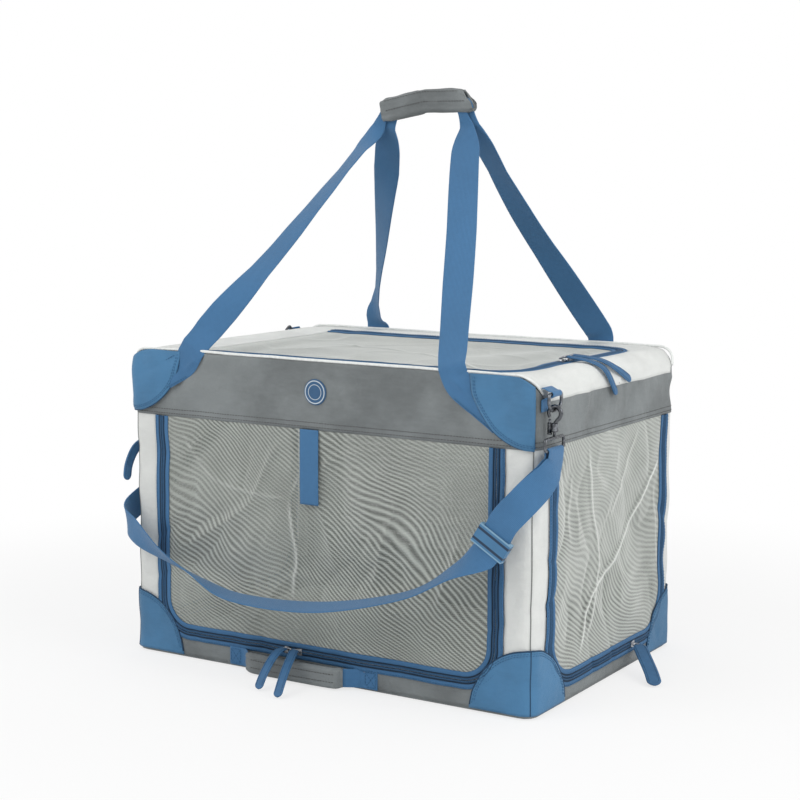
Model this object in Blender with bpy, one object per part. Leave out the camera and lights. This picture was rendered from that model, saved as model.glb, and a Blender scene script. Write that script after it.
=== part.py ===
"""Soft-sided folding pet carrier: cloth shell, mesh doors, folding steel frame, handles and shoulder strap.

Metres, +Z up. The origin is on the underside at the middle of the floor, the long front faces -Y.
"""
import bmesh
import bpy
from math import ceil, cos, pi, radians, sin
from mathutils import Matrix, Vector

# Overall size of the standing carrier, with its corner patches and its piping
WIDTH = 0.610
DEPTH = 0.420
HEIGHT = 0.415

# Cloth
GAP = 0.0003
CLOTH = 0.003
PATCH = 0.0015
MESH_CLOTH = 0.0012
PIPING = 0.004
PIPING_SUNK = 0.001
EDGE_RADIUS = 0.018
FOOT_RADIUS = 0.004
SHOULDER = 0.026
BASE_BAND = 0.060
HEAD_BAND_FOOT = HEIGHT - 0.090
BASE_PATCH_RADIUS = 0.085
HEAD_PATCH_RADIUS = 0.082
WINDOW_HALF = 0.240
WINDOW_FOOT = 0.088
WINDOW_HEAD = 0.300
WINDOW_RADIUS = 0.030

# Zips: each half of a zip is a tape along the edge of its cloth
TAPE = 0.010
TAPE_SEAM = 0.0003

# Cloth left beside each door, from the carrier's side to the middle of its zip
FRONT_MARGIN = 0.053
FRONT_DOOR_FOOT = 0.036
SIDE_NEAR_MARGIN = 0.050
SIDE_FAR_MARGIN = 0.040
SIDE_DOOR_FOOT = 0.030
TOP_NEAR_MARGIN = 0.025
TOP_FAR_MARGIN = 0.055
TOP_RIGHT_MARGIN = 0.047
TOP_LEFT_MARGIN = 0.080

# Folding frame
TUBE = 0.010
BORE_PLAY = 0.0003
CORNER_BEND = 0.030
LEG_BEND = 0.016
LEG_INSET = 0.0145
TOP_RING_RISE = 0.012
HINGE_WALL = 0.0022
HINGE_LENGTH = 0.030
HINGE_SPREAD = 0.110
HINGE_WELD = 0.0008
SOCKET = 0.015
SOCKET_LENGTH = 0.020
EAR = 0.011
EAR_THICK = 0.003
TONGUE_THICK = 0.004
EAR_REACH = 0.030
PIN = 0.0044

# Floor
BOARD = 0.003
BOARD_EDGE = 0.010
MAT = 0.015
MAT_CROWN = 0.005

# Webbing and its fittings
WEBBING = 0.038
WEBBING_THICK = 0.0015
HANDLE_SPREAD = WIDTH / 2 - 0.110
HANDLE_STUB = 0.043
HANDLE_CREASE = 0.024
GRIP_HEIGHT = 0.0416
GRIP_WALL = 0.0035
GRIP_CAVITY = 0.0092
GRIP_LEFT = (-0.036, HEIGHT + 0.3045)
GRIP_BEND = (0.030, HEIGHT + 0.3215)
GRIP_RIGHT = (0.101, HEIGHT + 0.3235)
GRIP_BEND_RADIUS = 0.060
GRIP_RUNOUT = 0.005
GATHERED = 0.015
GATHERED_RADIUS = 0.0085
GATHER_FOOT = HEIGHT + 0.252
GATHER_HEAD = HEIGHT + 0.297
BADGE_RADIUS = 0.0165
BADGE_THICK = 0.002
BADGE_PLACE = (-0.006, HEIGHT - 0.042)
TIE_WIDTH = 0.028
TIE_LENGTH = 0.096
TIE_X = -0.015
STRAP_THICK = 0.0014

# Grab handle on the base band
GRAB_WEBBING = 0.024
GRAB_HEIGHT = 0.0155
GRAB_LEFT = -0.121
GRAB_RIGHT = 0.0675
GRAB_STAND = 0.0195
GRAB_SLEEVE_LEFT = -0.103
GRAB_SLEEVE_RIGHT = 0.044
GRAB_SLEEVE_HEIGHT = 0.0265
GRAB_SLEEVE_THICK = 0.008

# Ring and trigger hook at each end of the shoulder strap
RING_STAND = 0.0133
RING_WIRE = 0.004
RING_WIDTH = 0.036
RING_DROP = 0.020
HOOK_WIRE = 0.0044
HOOK_INSIDE = 0.0116
BARREL = 0.009
BARREL_TOP = -0.0345
BARREL_LENGTH = 0.011
BOLT = 0.0028
BOLT_KNOB = 0.006
EYE_WIRE = 0.004
EYE_INSIDE = 0.044
EYE_TOP = -0.052
EYE_BAR = -0.066
FRONT_RING = (DEPTH / 2 - 0.023, HEIGHT - 0.023)
REAR_RING = (DEPTH / 2 - 0.023, HEIGHT - 0.017)
REAR_PULL = radians(60)

# Strap adjuster, zip sliders and their pulls
ADJUSTER_LENGTH = 0.026
ADJUSTER_RIM = 0.004
ADJUSTER_THICK = 0.0085
ADJUSTER_SLOT = 0.0056
ADJUSTER_WINDOW = 0.0062
SLIDER_LENGTH = 0.0105
SLIDER_WIDTH = 0.0090
SLIDER_THICK = 0.0034
PULL_THICK = 0.0026
FRONT_PULL_WIDTH = 0.010
SIDE_PULL_WIDTH = 0.016
TOP_PULL_WIDTH = 0.009
FRONT_SLIDERS_X = (-0.0475, -0.0315)
FRONT_PULL_TIPS = ((-0.045, 0.072), (-0.005, 0.087))
RIGHT_SLIDER_Y = 0.076
LEFT_SLIDER_Z = HEIGHT - 0.130
TOP_SLIDERS_Y = (-0.052, -0.036)
TOP_PULL_TIPS_Y = (0.004, 0.046)

CHARCOAL = (0.20, 0.20, 0.20, 1)
PALE = (0.62, 0.63, 0.60, 1)
BLUE = (0.068, 0.205, 0.395, 1)
NET = (0.52, 0.54, 0.50, 1)
STEEL = (0.42, 0.43, 0.44, 1)
BLACK = (0.03, 0.03, 0.03, 1)

# The outer face of the cloth lies under the patches, and its top under the piping
SKIN_X = WIDTH / 2 - PATCH - GAP
SKIN_Y = DEPTH / 2 - PATCH - GAP
SKIN_TOP = HEIGHT - PIPING + PIPING_SUNK
SHOULDER_FOOT = SKIN_TOP - SHOULDER

# Each face of the carrier has its own frame: u to the right and v up as one looks at it, w out of the cloth
FRONT = Matrix(((1, 0, 0, 0), (0, 0, -1, -SKIN_Y), (0, 1, 0, 0), (0, 0, 0, 1)))
BACK = Matrix(((-1, 0, 0, 0), (0, 0, 1, SKIN_Y), (0, 1, 0, 0), (0, 0, 0, 1)))
RIGHT = Matrix(((0, 0, 1, SKIN_X), (1, 0, 0, 0), (0, 1, 0, 0), (0, 0, 0, 1)))
LEFT = Matrix(((0, 0, -1, -SKIN_X), (-1, 0, 0, 0), (0, 1, 0, 0), (0, 0, 0, 1)))
TOP = Matrix(((0, -1, 0, 0), (1, 0, 0, 0), (0, 0, 1, SKIN_TOP), (0, 0, 0, 1)))


class Door:
    """A zipped opening: the middle line of its zip, down one side, across the foot and up the other."""

    def __init__(self, name, face, low, high, foot, head, radius):
        self.name, self.face = name, face
        self.low, self.high, self.foot, self.head, self.radius = low, high, foot, head, radius

    def outline(self, offset, head=None, steps=6):
        """The zip's line, set outwards by offset, from its left end at the head round to its right end."""
        low, high, foot = self.low - offset, self.high + offset, self.foot - offset
        r = self.radius + offset
        head = self.head - GAP if head is None else head
        points = [Vector((low, head))]
        points += arc(Vector((low + r, foot + r)), r, pi, 1.5 * pi, steps)
        points += arc(Vector((high - r, foot + r)), r, -0.5 * pi, 0, steps)
        return points + [Vector((high, head))]


def arc(centre, radius, start, end, steps):
    """Points on an arc in a plane."""
    turn = (end - start) / steps
    return [centre + radius * Vector((cos(start + turn * i), sin(start + turn * i))) for i in range(steps + 1)]


DOORS = {
    "front": Door("front", FRONT, FRONT_MARGIN - WIDTH / 2, WIDTH / 2 - FRONT_MARGIN, FRONT_DOOR_FOOT,
                  HEAD_BAND_FOOT, 0.045),
    "right": Door("right", RIGHT, SIDE_NEAR_MARGIN - DEPTH / 2, DEPTH / 2 - SIDE_FAR_MARGIN, SIDE_DOOR_FOOT,
                  HEAD_BAND_FOOT, 0.055),
    "left": Door("left", LEFT, SIDE_FAR_MARGIN - DEPTH / 2, DEPTH / 2 - SIDE_NEAR_MARGIN, SIDE_DOOR_FOOT,
                 HEAD_BAND_FOOT, 0.055),
    "top": Door("top", TOP, TOP_NEAR_MARGIN - DEPTH / 2, DEPTH / 2 - TOP_FAR_MARGIN, TOP_RIGHT_MARGIN - WIDTH / 2,
                WIDTH / 2 - TOP_LEFT_MARGIN, 0.045),
}


# Making solids

def paint(name, colour, roughness, metallic=0.0):
    material = bpy.data.materials.new(name)
    material.use_nodes = True
    shader = material.node_tree.nodes["Principled BSDF"]
    shader.inputs["Base Color"].default_value = colour
    shader.inputs["Roughness"].default_value = roughness
    shader.inputs["Metallic"].default_value = metallic
    return material


def pivot(name, place, parent=None):
    """An empty on a joint's axis, which the pieces that the joint moves are parented to."""
    empty = bpy.data.objects.new(f"{name}_pivot", None)
    bpy.context.scene.collection.objects.link(empty)
    empty.location = place
    if parent:
        attach(empty, parent)
    return empty


def attach(obj, parent):
    """Parent an object that is already in its place."""
    obj.parent = parent
    chain = Vector()
    while parent:
        chain += parent.matrix_parent_inverse.translation + parent.location
        parent = parent.parent
    obj.matrix_parent_inverse = Matrix.Translation(-chain)


class Shape:
    """A mesh in the making. Each method adds one closed body to it."""

    def __init__(self):
        self.mesh = bmesh.new()

    def loft(self, rings, closed=False, rising=None):
        """A skin through rings of as many points each, capped at both ends or closed on itself.

        Given rising, a flag for each side of the ring, the sides are triangles, split up or down by their flag.
        """
        loops = [[self.mesh.verts.new(p) for p in ring] for ring in rings]
        for i in range(len(loops) if closed else len(loops) - 1):
            here, there = loops[i], loops[(i + 1) % len(loops)]
            for j in range(len(here)):
                k = (j + 1) % len(here)
                if rising is None:
                    self.mesh.faces.new((here[j], here[k], there[k], there[j]))
                elif rising[j]:
                    self.mesh.faces.new((here[j], here[k], there[k]))
                    self.mesh.faces.new((here[j], there[k], there[j]))
                else:
                    self.mesh.faces.new((here[j], here[k], there[j]))
                    self.mesh.faces.new((here[k], there[k], there[j]))
        if not closed:
            self.mesh.faces.new(loops[0])
            self.mesh.faces.new(loops[-1])
        return self

    def prism(self, outline, face, low, high):
        """A flat outline in a face's frame, extruded from w = low to w = high."""
        cap = self.mesh.faces.new([self.mesh.verts.new(face @ Vector((p[0], p[1], low))) for p in outline])
        lifted = bmesh.ops.extrude_face_region(self.mesh, geom=[cap])["geom"]
        rise = face.to_3x3() @ Vector((0, 0, high - low))
        bmesh.ops.translate(self.mesh, verts=[v for v in lifted if isinstance(v, bmesh.types.BMVert)], vec=rise)
        return self

    def strip(self, inner, outer, face, low, high):
        """A flat band between two lines in a face's frame."""
        sections = []
        for a, b in zip(inner, outer):
            corners = ((a, low), (b, low), (b, high), (a, high))
            sections.append([face @ Vector((p[0], p[1], w)) for p, w in corners])
        return self.loft(sections)

    def ribbon(self, path, sides, section, twisted=False):
        """A section of (side, normal) offsets carried along a path, with its side direction at each point.

        The two faces of a twisted ribbon are split alike, so that they stay apart.
        """
        rings = []
        for i, (here, side) in enumerate(zip(path, sides)):
            along = (path[min(i + 1, len(path) - 1)] - path[max(i - 1, 0)]).normalized()
            normal = along.cross(side).normalized()
            side = normal.cross(along)
            rings.append([here + side * a + normal * b for a, b in section])
        rising = [section[(j + 1) % len(section)][0] > section[j][0] for j in range(len(section))]
        return self.loft(rings, rising=rising if twisted else None)

    def tube(self, path, diameter, closed=False, sides=8):
        """A round bar along a path, from a bevelled curve."""
        curve = bpy.data.curves.new("tube", "CURVE")
        curve.dimensions = "3D"
        curve.bevel_depth = diameter / 2
        curve.bevel_resolution = (sides - 4) // 2
        curve.use_fill_caps = not closed
        spline = curve.splines.new("POLY")
        spline.points.add(len(path) - 1)
        for point, place in zip(spline.points, path):
            point.co = (*place, 1)
        spline.use_cyclic_u = closed
        holder = bpy.data.objects.new("tube", curve)
        made = bpy.data.meshes.new_from_object(holder)
        self.mesh.from_mesh(made)
        bmesh.ops.remove_doubles(self.mesh, verts=self.mesh.verts, dist=1e-6)
        bpy.data.objects.remove(holder)
        bpy.data.meshes.remove(made)
        return self

    def rod(self, start, end, diameter, sides=12):
        """A straight round bar."""
        start, end = Vector(start), Vector(end)
        along = end - start
        place = Matrix.Translation((start + end) / 2) @ along.to_track_quat("Z", "Y").to_matrix().to_4x4()
        bmesh.ops.create_cone(self.mesh, cap_ends=True, segments=sides, radius1=diameter / 2, radius2=diameter / 2,
                              depth=along.length, matrix=place)
        return self

    def block(self, centre, size, place=None):
        scale = Matrix.Diagonal((*size, 1))
        matrix = (place or Matrix()) @ Matrix.Translation(centre) @ scale
        bmesh.ops.create_cube(self.mesh, size=1, matrix=matrix)
        return self

    def ball(self, centre, radius):
        bmesh.ops.create_uvsphere(self.mesh, u_segments=24, v_segments=12, radius=radius,
                                  matrix=Matrix.Translation(centre))
        return self

    def data(self, name):
        bmesh.ops.recalc_face_normals(self.mesh, faces=self.mesh.faces)
        data = bpy.data.meshes.new(name)
        self.mesh.to_mesh(data)
        self.mesh.free()
        return data

    def piece(self, name, finish, parent=None, local=False):
        """A finished piece, parented where it stands, or in its parent's own axes."""
        data = self.data(name)
        data.materials.append(finish)
        data.shade_smooth()
        data.set_sharp_from_angle(angle=radians(35))
        obj = bpy.data.objects.new(name, data)
        bpy.context.scene.collection.objects.link(obj)
        if local:
            obj.parent = parent
        elif parent:
            attach(obj, parent)
        return obj

    def change(self, obj, operation, name):
        """A hidden guide that a Boolean cuts from a piece, joins to it or trims it by."""
        guide = bpy.data.objects.new(f"{obj.name}_{name}", self.data(name))
        bpy.context.scene.collection.objects.link(guide)
        guide.parent = obj
        guide.hide_render = True
        guide.display_type = "WIRE"
        modifier = obj.modifiers.new(name, "BOOLEAN")
        modifier.operation = operation
        modifier.object = guide


def flat_section(width, thick):
    return [(-width / 2, -thick / 2), (width / 2, -thick / 2), (width / 2, thick / 2), (-width / 2, thick / 2)]


def rounded(corners, radii, steps=4, closed=False):
    """A line through corners, each turned on an arc of its radius."""
    line = []
    for i, corner in enumerate(corners):
        if not closed and i in (0, len(corners) - 1):
            line.append(corner.copy())
            continue
        back = (corners[i - 1] - corner).normalized()
        on = (corners[(i + 1) % len(corners)] - corner).normalized()
        half = back.angle(on) / 2
        reach = radii[i] / sin(half) * cos(half)
        middle = corner + (back + on).normalized() * (radii[i] / sin(half))
        start, end = corner + back * reach - middle, corner + on * reach - middle
        line += [middle + start.slerp(end, k / steps).normalized() * radii[i] for k in range(steps + 1)]
    return line


def divided(line, reach):
    """The line with points added so that none lies more than reach from the next."""
    full = [line[0]]
    for here, there in zip(line, line[1:]):
        count = max(1, ceil((there - here).length / reach))
        full += [here.lerp(there, k / count) for k in range(1, count + 1)]
    return full


def smooth_line(knots, steps):
    """A smooth curve through knots, with steps points for each stretch."""
    line = []
    for i in range(len(knots) - 1):
        a, b, c, d = (knots[max(0, min(len(knots) - 1, i + k))] for k in (-1, 0, 1, 2))
        for k in range(steps):
            t = k / steps
            line.append(0.5 * ((2 * b) + (c - a) * t + (2 * a - 5 * b + 4 * c - d) * t * t
                               + (3 * b - a - 3 * c + d) * t ** 3))
    return line + [knots[-1].copy()]


# Cloth shell

def plan(half_x, half_y, radius, z, steps=4):
    """The carrier's outline at one height, anticlockwise from above."""
    corners = ((half_x - radius, half_y - radius, 0), (radius - half_x, half_y - radius, 0.5 * pi),
               (radius - half_x, radius - half_y, pi), (half_x - radius, radius - half_y, 1.5 * pi))
    ring = []
    for x, y, start in corners:
        ring += [Vector((p[0], p[1], z)) for p in arc(Vector((x, y)), radius, start, start + pi / 2, steps)]
    return ring


def wall(z, inset=0.0):
    """The upright cloth's outline, inset from its outer face."""
    return plan(SKIN_X - inset, SKIN_Y - inset, EDGE_RADIUS - inset, z)


def shoulder(angle, inset=0.0):
    """The cloth's outline where the ends roll over into the top."""
    reach = SHOULDER - inset
    return plan(SKIN_X - SHOULDER + reach * cos(angle), SKIN_Y - inset, EDGE_RADIUS - inset,
                SHOULDER_FOOT + reach * sin(angle))


def shoulder_turns(steps=5):
    return [i * pi / 2 / steps for i in range(steps + 1)]


def band(low, high, near, far):
    """A closed ring of upright cloth between two heights and two insets."""
    return Shape().loft([wall(low, far), wall(high, far), wall(high, near), wall(low, near)], closed=True)


def cut_opening(obj, door):
    """Cut the cloth away for both halves of the door's zip."""
    clear = TAPE + GAP
    outline = door.outline(clear, head=door.head + clear)
    Shape().prism(outline, door.face, -4 * CLOTH, 4 * CLOTH).change(obj, "DIFFERENCE", f"{door.name}_opening")


def base_cover(finish):
    """The tub of the base: floor cloth and the low band round it."""
    foot = plan(SKIN_X - FOOT_RADIUS, SKIN_Y - FOOT_RADIUS, EDGE_RADIUS - FOOT_RADIUS, 0)
    rings = [foot, wall(FOOT_RADIUS), wall(BASE_BAND), wall(BASE_BAND, CLOTH), wall(CLOTH, CLOTH)]
    obj = Shape().loft(rings).piece("base_cover", finish)
    for key in ("front", "right", "left"):
        cut_opening(obj, DOORS[key])


def upright_walls(finish):
    """The pale cloth between the two bands: a pillar at each front corner, and the back with its net."""
    low, high = BASE_BAND + GAP, HEAD_BAND_FOOT - GAP
    middle = (low + high) / 2
    for name, x, y in (("corner_pillar_left", -1, -1), ("corner_pillar_right", 1, -1), ("back_wall", 0, 1)):
        obj = band(low, high, CLOTH, 0).piece(name, finish)
        size = (WIDTH if x else 2 * WIDTH, DEPTH, HEIGHT)
        Shape().block((x * WIDTH / 2, y * DEPTH / 2, middle), size).change(obj, "INTERSECT", "quarter")
        for key in ("front", "right", "left"):
            cut_opening(obj, DOORS[key])
        if y > 0:
            net_out, net_in = -(CLOTH - MESH_CLOTH) / 2, -(CLOTH + MESH_CLOTH) / 2
            window = window_outline()
            Shape().prism(window, BACK, net_out, CLOTH).change(obj, "DIFFERENCE", "window_outside")
            Shape().prism(window, BACK, -2 * CLOTH, net_in).change(obj, "DIFFERENCE", "window_inside")


def window_outline():
    low, high, half, r = WINDOW_FOOT, WINDOW_HEAD, WINDOW_HALF, WINDOW_RADIUS
    middles = ((half - r, high - r), (r - half, high - r), (r - half, low + r), (half - r, low + r))
    line = []
    for i, middle in enumerate(middles):
        line += arc(Vector(middle), r, i * pi / 2, (i + 1) * pi / 2, 4)
    return line


def head_band(finish, top):
    """The grey band under the top edge, with the corded seam of the front and the back."""
    outer = [wall(HEAD_BAND_FOOT)] + [shoulder(a) for a in shoulder_turns()]
    inner = [shoulder(a, CLOTH) for a in reversed(shoulder_turns())] + [wall(HEAD_BAND_FOOT, CLOTH)]
    obj = Shape().loft(outer + inner, closed=True).piece("top_band", finish, top)
    rise = SHOULDER + HEIGHT
    room = Shape().block((0, 0, SHOULDER_FOOT + rise / 2), (2 * WIDTH, 2 * (SKIN_Y - CLOTH), rise))
    room.change(obj, "DIFFERENCE", "top_room")
    centre = Vector((SKIN_X - SHOULDER, SHOULDER_FOOT))
    half = arc(centre, SHOULDER + PIPING / 2 - PIPING_SUNK, radians(50), pi / 2, 4)
    line = half + [Vector((-p[0], p[1])) for p in reversed(half)]
    for word, y in (("front", -1), ("back", 1)):
        path = [Vector((p[0], y * (SKIN_Y - PIPING / 2), p[1])) for p in line]
        Shape().tube(path, PIPING).change(obj, "UNION", f"{word}_piping")


def top_panel(finish, top):
    """The pale top, which rolls over the ends, with the hole for its door."""
    centre = Vector((SKIN_X - SHOULDER, SHOULDER_FOOT))
    foot = GAP / SHOULDER
    half = arc(centre, SHOULDER, foot, pi / 2, 5)
    under = arc(centre, SHOULDER - CLOTH, foot, pi / 2, 5)
    outer = half + [Vector((-p[0], p[1])) for p in reversed(half)]
    inner = under + [Vector((-p[0], p[1])) for p in reversed(under)]
    deep = SKIN_Y - PIPING - 2 * GAP
    sections = [[Vector((p[0], y, p[1])) for p, y in ((a, -deep), (a, deep), (b, deep), (b, -deep))]
                for a, b in zip(outer, inner)]
    obj = Shape().loft(sections).piece("top_panel", finish, top)
    trim = Shape().loft([wall(SHOULDER_FOOT - SHOULDER), wall(HEIGHT + SHOULDER)])
    trim.change(obj, "INTERSECT", "corners")
    door = DOORS["top"]
    hole = door.outline(TAPE + GAP, head=door.head + GAP)
    Shape().prism(hole, door.face, -4 * CLOTH, 4 * CLOTH).change(obj, "DIFFERENCE", "door_opening")


def corner_patches(finish, top):
    """Quarter-round guards, over the foot of each upright edge and on the front ends of the head band."""
    near, far = -GAP, -GAP - PATCH
    for side, y in (("front", -1), ("back", 1)):
        for hand, x in (("left", -1), ("right", 1)):
            patch = band(FOOT_RADIUS + GAP, 2 * BASE_PATCH_RADIUS, near, far)
            obj = patch.piece(f"base_patch_{side}_{hand}", finish)
            guide = Shape().ball((x * SKIN_X, y * SKIN_Y, 0), BASE_PATCH_RADIUS)
            guide.change(obj, "INTERSECT", "round")

    # On the head band they stop short of the corded seam, along the top and round the shoulder
    clear, middle = PIPING_SUNK + 2 * GAP, Vector((SKIN_X - SHOULDER, SHOULDER_FOOT))
    corner = Vector((SKIN_X, SKIN_TOP))
    outline = arc(middle, SHOULDER - clear, 0, pi / 2, 5) + arc(corner, HEAD_PATCH_RADIUS, pi + 0.02, 1.5 * pi, 10)
    for hand, x in (("left", -1), ("right", 1)):
        patch = band(HEAD_BAND_FOOT + GAP, SKIN_TOP - clear, near, far)
        obj = patch.piece(f"top_patch_{hand}", finish, top)
        guide = Shape().prism([(x * p[0], p[1]) for p in outline], FRONT, -EDGE_RADIUS, EDGE_RADIUS)
        guide.change(obj, "INTERSECT", "round")


def zip_tracks(finish, top):
    """The half of each zip that stays on the shell."""
    for key, door in DOORS.items():
        track = Shape().strip(door.outline(TAPE_SEAM / 2), door.outline(TAPE), door.face, -CLOTH, 0)
        track.piece(f"{key}_zip_track", finish, top if key == "top" else None)


def door_panels(finish, pivots):
    """Each door: a net in the other half of its zip, free on three sides and sewn along its head."""
    middle = -CLOTH / 2
    for key, door in DOORS.items():
        binding = Shape().strip(door.outline(-TAPE), door.outline(-TAPE_SEAM / 2), door.face, -CLOTH, 0)
        obj = binding.piece(f"{key}_door", finish, pivots[f"{key}_door"])
        net = Shape().prism(door.outline(-TAPE / 2), door.face, middle - MESH_CLOTH / 2, middle + MESH_CLOTH / 2)
        net.change(obj, "UNION", "net")


def badge(finish, top):
    """A plain round badge on the head band."""
    x, z = BADGE_PLACE
    rim = arc(Vector((x, z)), BADGE_RADIUS, 0, 2 * pi, 24)[:-1]
    crown = arc(Vector((x, z)), BADGE_RADIUS - BADGE_THICK / 2, 0, 2 * pi, 24)[:-1]
    steps = ((rim, GAP), (rim, GAP + BADGE_THICK / 2), (crown, GAP + BADGE_THICK))
    Shape().loft([[FRONT @ Vector((p[0], p[1], w)) for p in line] for line, w in steps]).piece("badge", finish, top)


# Folding frame

LEG_X = SKIN_X - CLOTH - LEG_INSET
RING_Y = SKIN_Y - CLOTH - GAP - TUBE / 2
BASE_RING_Z = CLOTH + GAP + TUBE / 2
TOP_RING_Z = SHOULDER_FOOT + TOP_RING_RISE
HINGE_RADIUS = TUBE / 2 + BORE_PLAY + HINGE_WALL
CROSS_STEP = HINGE_RADIUS + TUBE / 2 - HINGE_WELD
LEG_FOOT = BASE_RING_Z + CROSS_STEP
LEG_HEAD = TOP_RING_Z - CROSS_STEP
LEG_LENGTH = (LEG_HEAD - LEG_FOOT) / 2
KNUCKLE_Z = LEG_FOOT + LEG_LENGTH
LEG_Y = RING_Y - TUBE


def frame_ring(name, ring_z, cross_z, finish, parent=None):
    """A closed ring of steel tube, with welded sleeves in which the legs' crossbars turn."""
    corners = [Vector((x * LEG_X, y * RING_Y, ring_z)) for x, y in ((1, 1), (-1, 1), (-1, -1), (1, -1))]
    path = rounded(corners, [CORNER_BEND] * 4, closed=True)
    obj = Shape().tube(path, TUBE, closed=True).piece(name, finish, parent)
    places = [(x * LEG_X, y * HINGE_SPREAD) for x in (-1, 1) for y in (-1, 1)]
    sleeves, webs, bores = Shape(), Shape(), Shape()
    for x, y in places:
        half = HINGE_LENGTH / 2
        sleeves.rod((x, y - half, cross_z), (x, y + half, cross_z), 2 * HINGE_RADIUS)
        webs.block((x, y, (ring_z + cross_z) / 2), (TUBE * 0.8, HINGE_LENGTH * 0.8, CROSS_STEP))
        bores.rod((x, y - 2 * half, cross_z), (x, y + 2 * half, cross_z), TUBE + 2 * BORE_PLAY)
    sleeves.change(obj, "UNION", "sleeves")
    webs.change(obj, "UNION", "webs")
    bores.change(obj, "DIFFERENCE", "bores")


def ear(shape, x, y, thick, up):
    """A rounded lug round the knuckle's pin, from its tip back into the socket."""
    tip = arc(Vector((0, 0)), EAR / 2, 0, pi, 6)
    root = -EAR_REACH - SOCKET_LENGTH / 4
    outline = [Vector((EAR / 2, root))] + tip + [Vector((-EAR / 2, root))]
    face = Matrix(((1, 0, 0, x), (0, 0, 1, y), (0, up, 0, KNUCKLE_Z), (0, 0, 0, 1)))
    shape.prism(outline, face, -thick / 2, thick / 2)


def half_leg(name, side, up, finish, parent):
    """A bent tube with two knuckles. The lower half has forks and their pins, the upper half tongues between."""
    x = side * LEG_X
    crossbar, end = (LEG_FOOT, LEG_HEAD)[up < 0], KNUCKLE_Z - up * (EAR_REACH + SOCKET_LENGTH / 2)
    corners = [Vector((x, y, z)) for y, z in ((-LEG_Y, end), (-LEG_Y, crossbar), (LEG_Y, crossbar), (LEG_Y, end))]
    obj = Shape().tube(rounded(corners, [0, LEG_BEND, LEG_BEND, 0]), TUBE).piece(name, finish, parent)
    offset = (TONGUE_THICK + EAR_THICK) / 2 + GAP
    sockets, ears, pins = Shape(), Shape(), Shape()
    for y in (-LEG_Y, LEG_Y):
        sockets.block((x, y, KNUCKLE_Z - up * (EAR_REACH + SOCKET_LENGTH / 2)), (SOCKET, SOCKET, SOCKET_LENGTH))
        if up > 0:
            ear(ears, x, y - offset, EAR_THICK, up)
            ear(ears, x, y + offset, EAR_THICK, up)
            reach = offset + EAR_THICK / 2 + PIN / 4
            pins.rod((x, y - reach, KNUCKLE_Z), (x, y + reach, KNUCKLE_Z), PIN)
        else:
            ear(ears, x, y, TONGUE_THICK, up)
            pins.rod((x, y - EAR, KNUCKLE_Z), (x, y + EAR, KNUCKLE_Z), PIN + 2 * BORE_PLAY)
    sockets.change(obj, "UNION", "sockets")
    ears.change(obj, "UNION", "ears")
    pins.change(obj, "UNION" if up > 0 else "DIFFERENCE", "pins" if up > 0 else "pin_holes")


def floor(board_finish, mat_finish):
    """The stiff board inside the ring, and the fleece mat on it."""
    half_x, half_y = LEG_X - TUBE / 2 - BOARD_EDGE, RING_Y - TUBE - BOARD_EDGE
    low = CLOTH + GAP
    Shape().loft([plan(half_x, half_y, CORNER_BEND, z) for z in (low, low + BOARD)]).piece("floor_board", board_finish)
    base = low + BOARD + GAP
    rings = []
    for rise, inset in ((0, 0.006), (0.25, 0.0), (0.6, 0.002), (0.85, 0.012)):
        rings.append(plan(half_x - inset, half_y - inset, CORNER_BEND - inset, base + rise * MAT))
    rings.append(plan(half_x * 0.80, half_y * 0.70, CORNER_BEND / 2, base + MAT))
    rings.append(plan(half_x * 0.35, half_y * 0.30, CORNER_BEND / 4, base + MAT + MAT_CROWN / 2))
    Shape().loft(rings).piece("fleece_mat", mat_finish)


# Carrying handles

HINGE_Z = SHOULDER_FOOT + SHOULDER / 2
HANDLE_OUT = GAP + WEBBING_THICK / 2
HANDLE_IN = GRIP_CAVITY / 4
EDGE_CLEAR = HEIGHT + 0.003
GRIP_FOOT = GRIP_LEFT[1] - 0.014


def handle_line():
    """The middle line of a handle, as x and height: up from one anchor, through the grip and down to the other."""
    left, bend, right = (Vector((*p, 0)) for p in (GRIP_LEFT, GRIP_BEND, GRIP_RIGHT))
    turn_left = left + (left - bend).normalized() * GRIP_RUNOUT
    turn_right = right + (right - bend).normalized() * GRIP_RUNOUT
    foot, edge, bent = HINGE_Z - HANDLE_STUB, EDGE_CLEAR, EDGE_CLEAR + 0.010
    corners = [Vector((-HANDLE_SPREAD, edge, 0)), Vector((-HANDLE_SPREAD, bent, 0)), turn_left, bend, turn_right,
               Vector((HANDLE_SPREAD, bent, 0)), Vector((HANDLE_SPREAD, edge, 0))]
    bend = GATHERED_RADIUS
    line = rounded(corners, [0, HANDLE_CREASE, bend, GRIP_BEND_RADIUS, bend, HANDLE_CREASE, 0])
    return divided([Vector((-HANDLE_SPREAD, foot, 0))] + line + [Vector((HANDLE_SPREAD, foot, 0))], WEBBING / 3)


def handle_depth(z):
    """How far the webbing stands from the carrier's middle plane: upright on the band, then leaning in."""
    outside = SKIN_Y + HANDLE_OUT
    share = min(max((z - EDGE_CLEAR) / (GRIP_FOOT - EDGE_CLEAR), 0), 1)
    return outside + (HANDLE_IN - outside) * share


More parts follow.
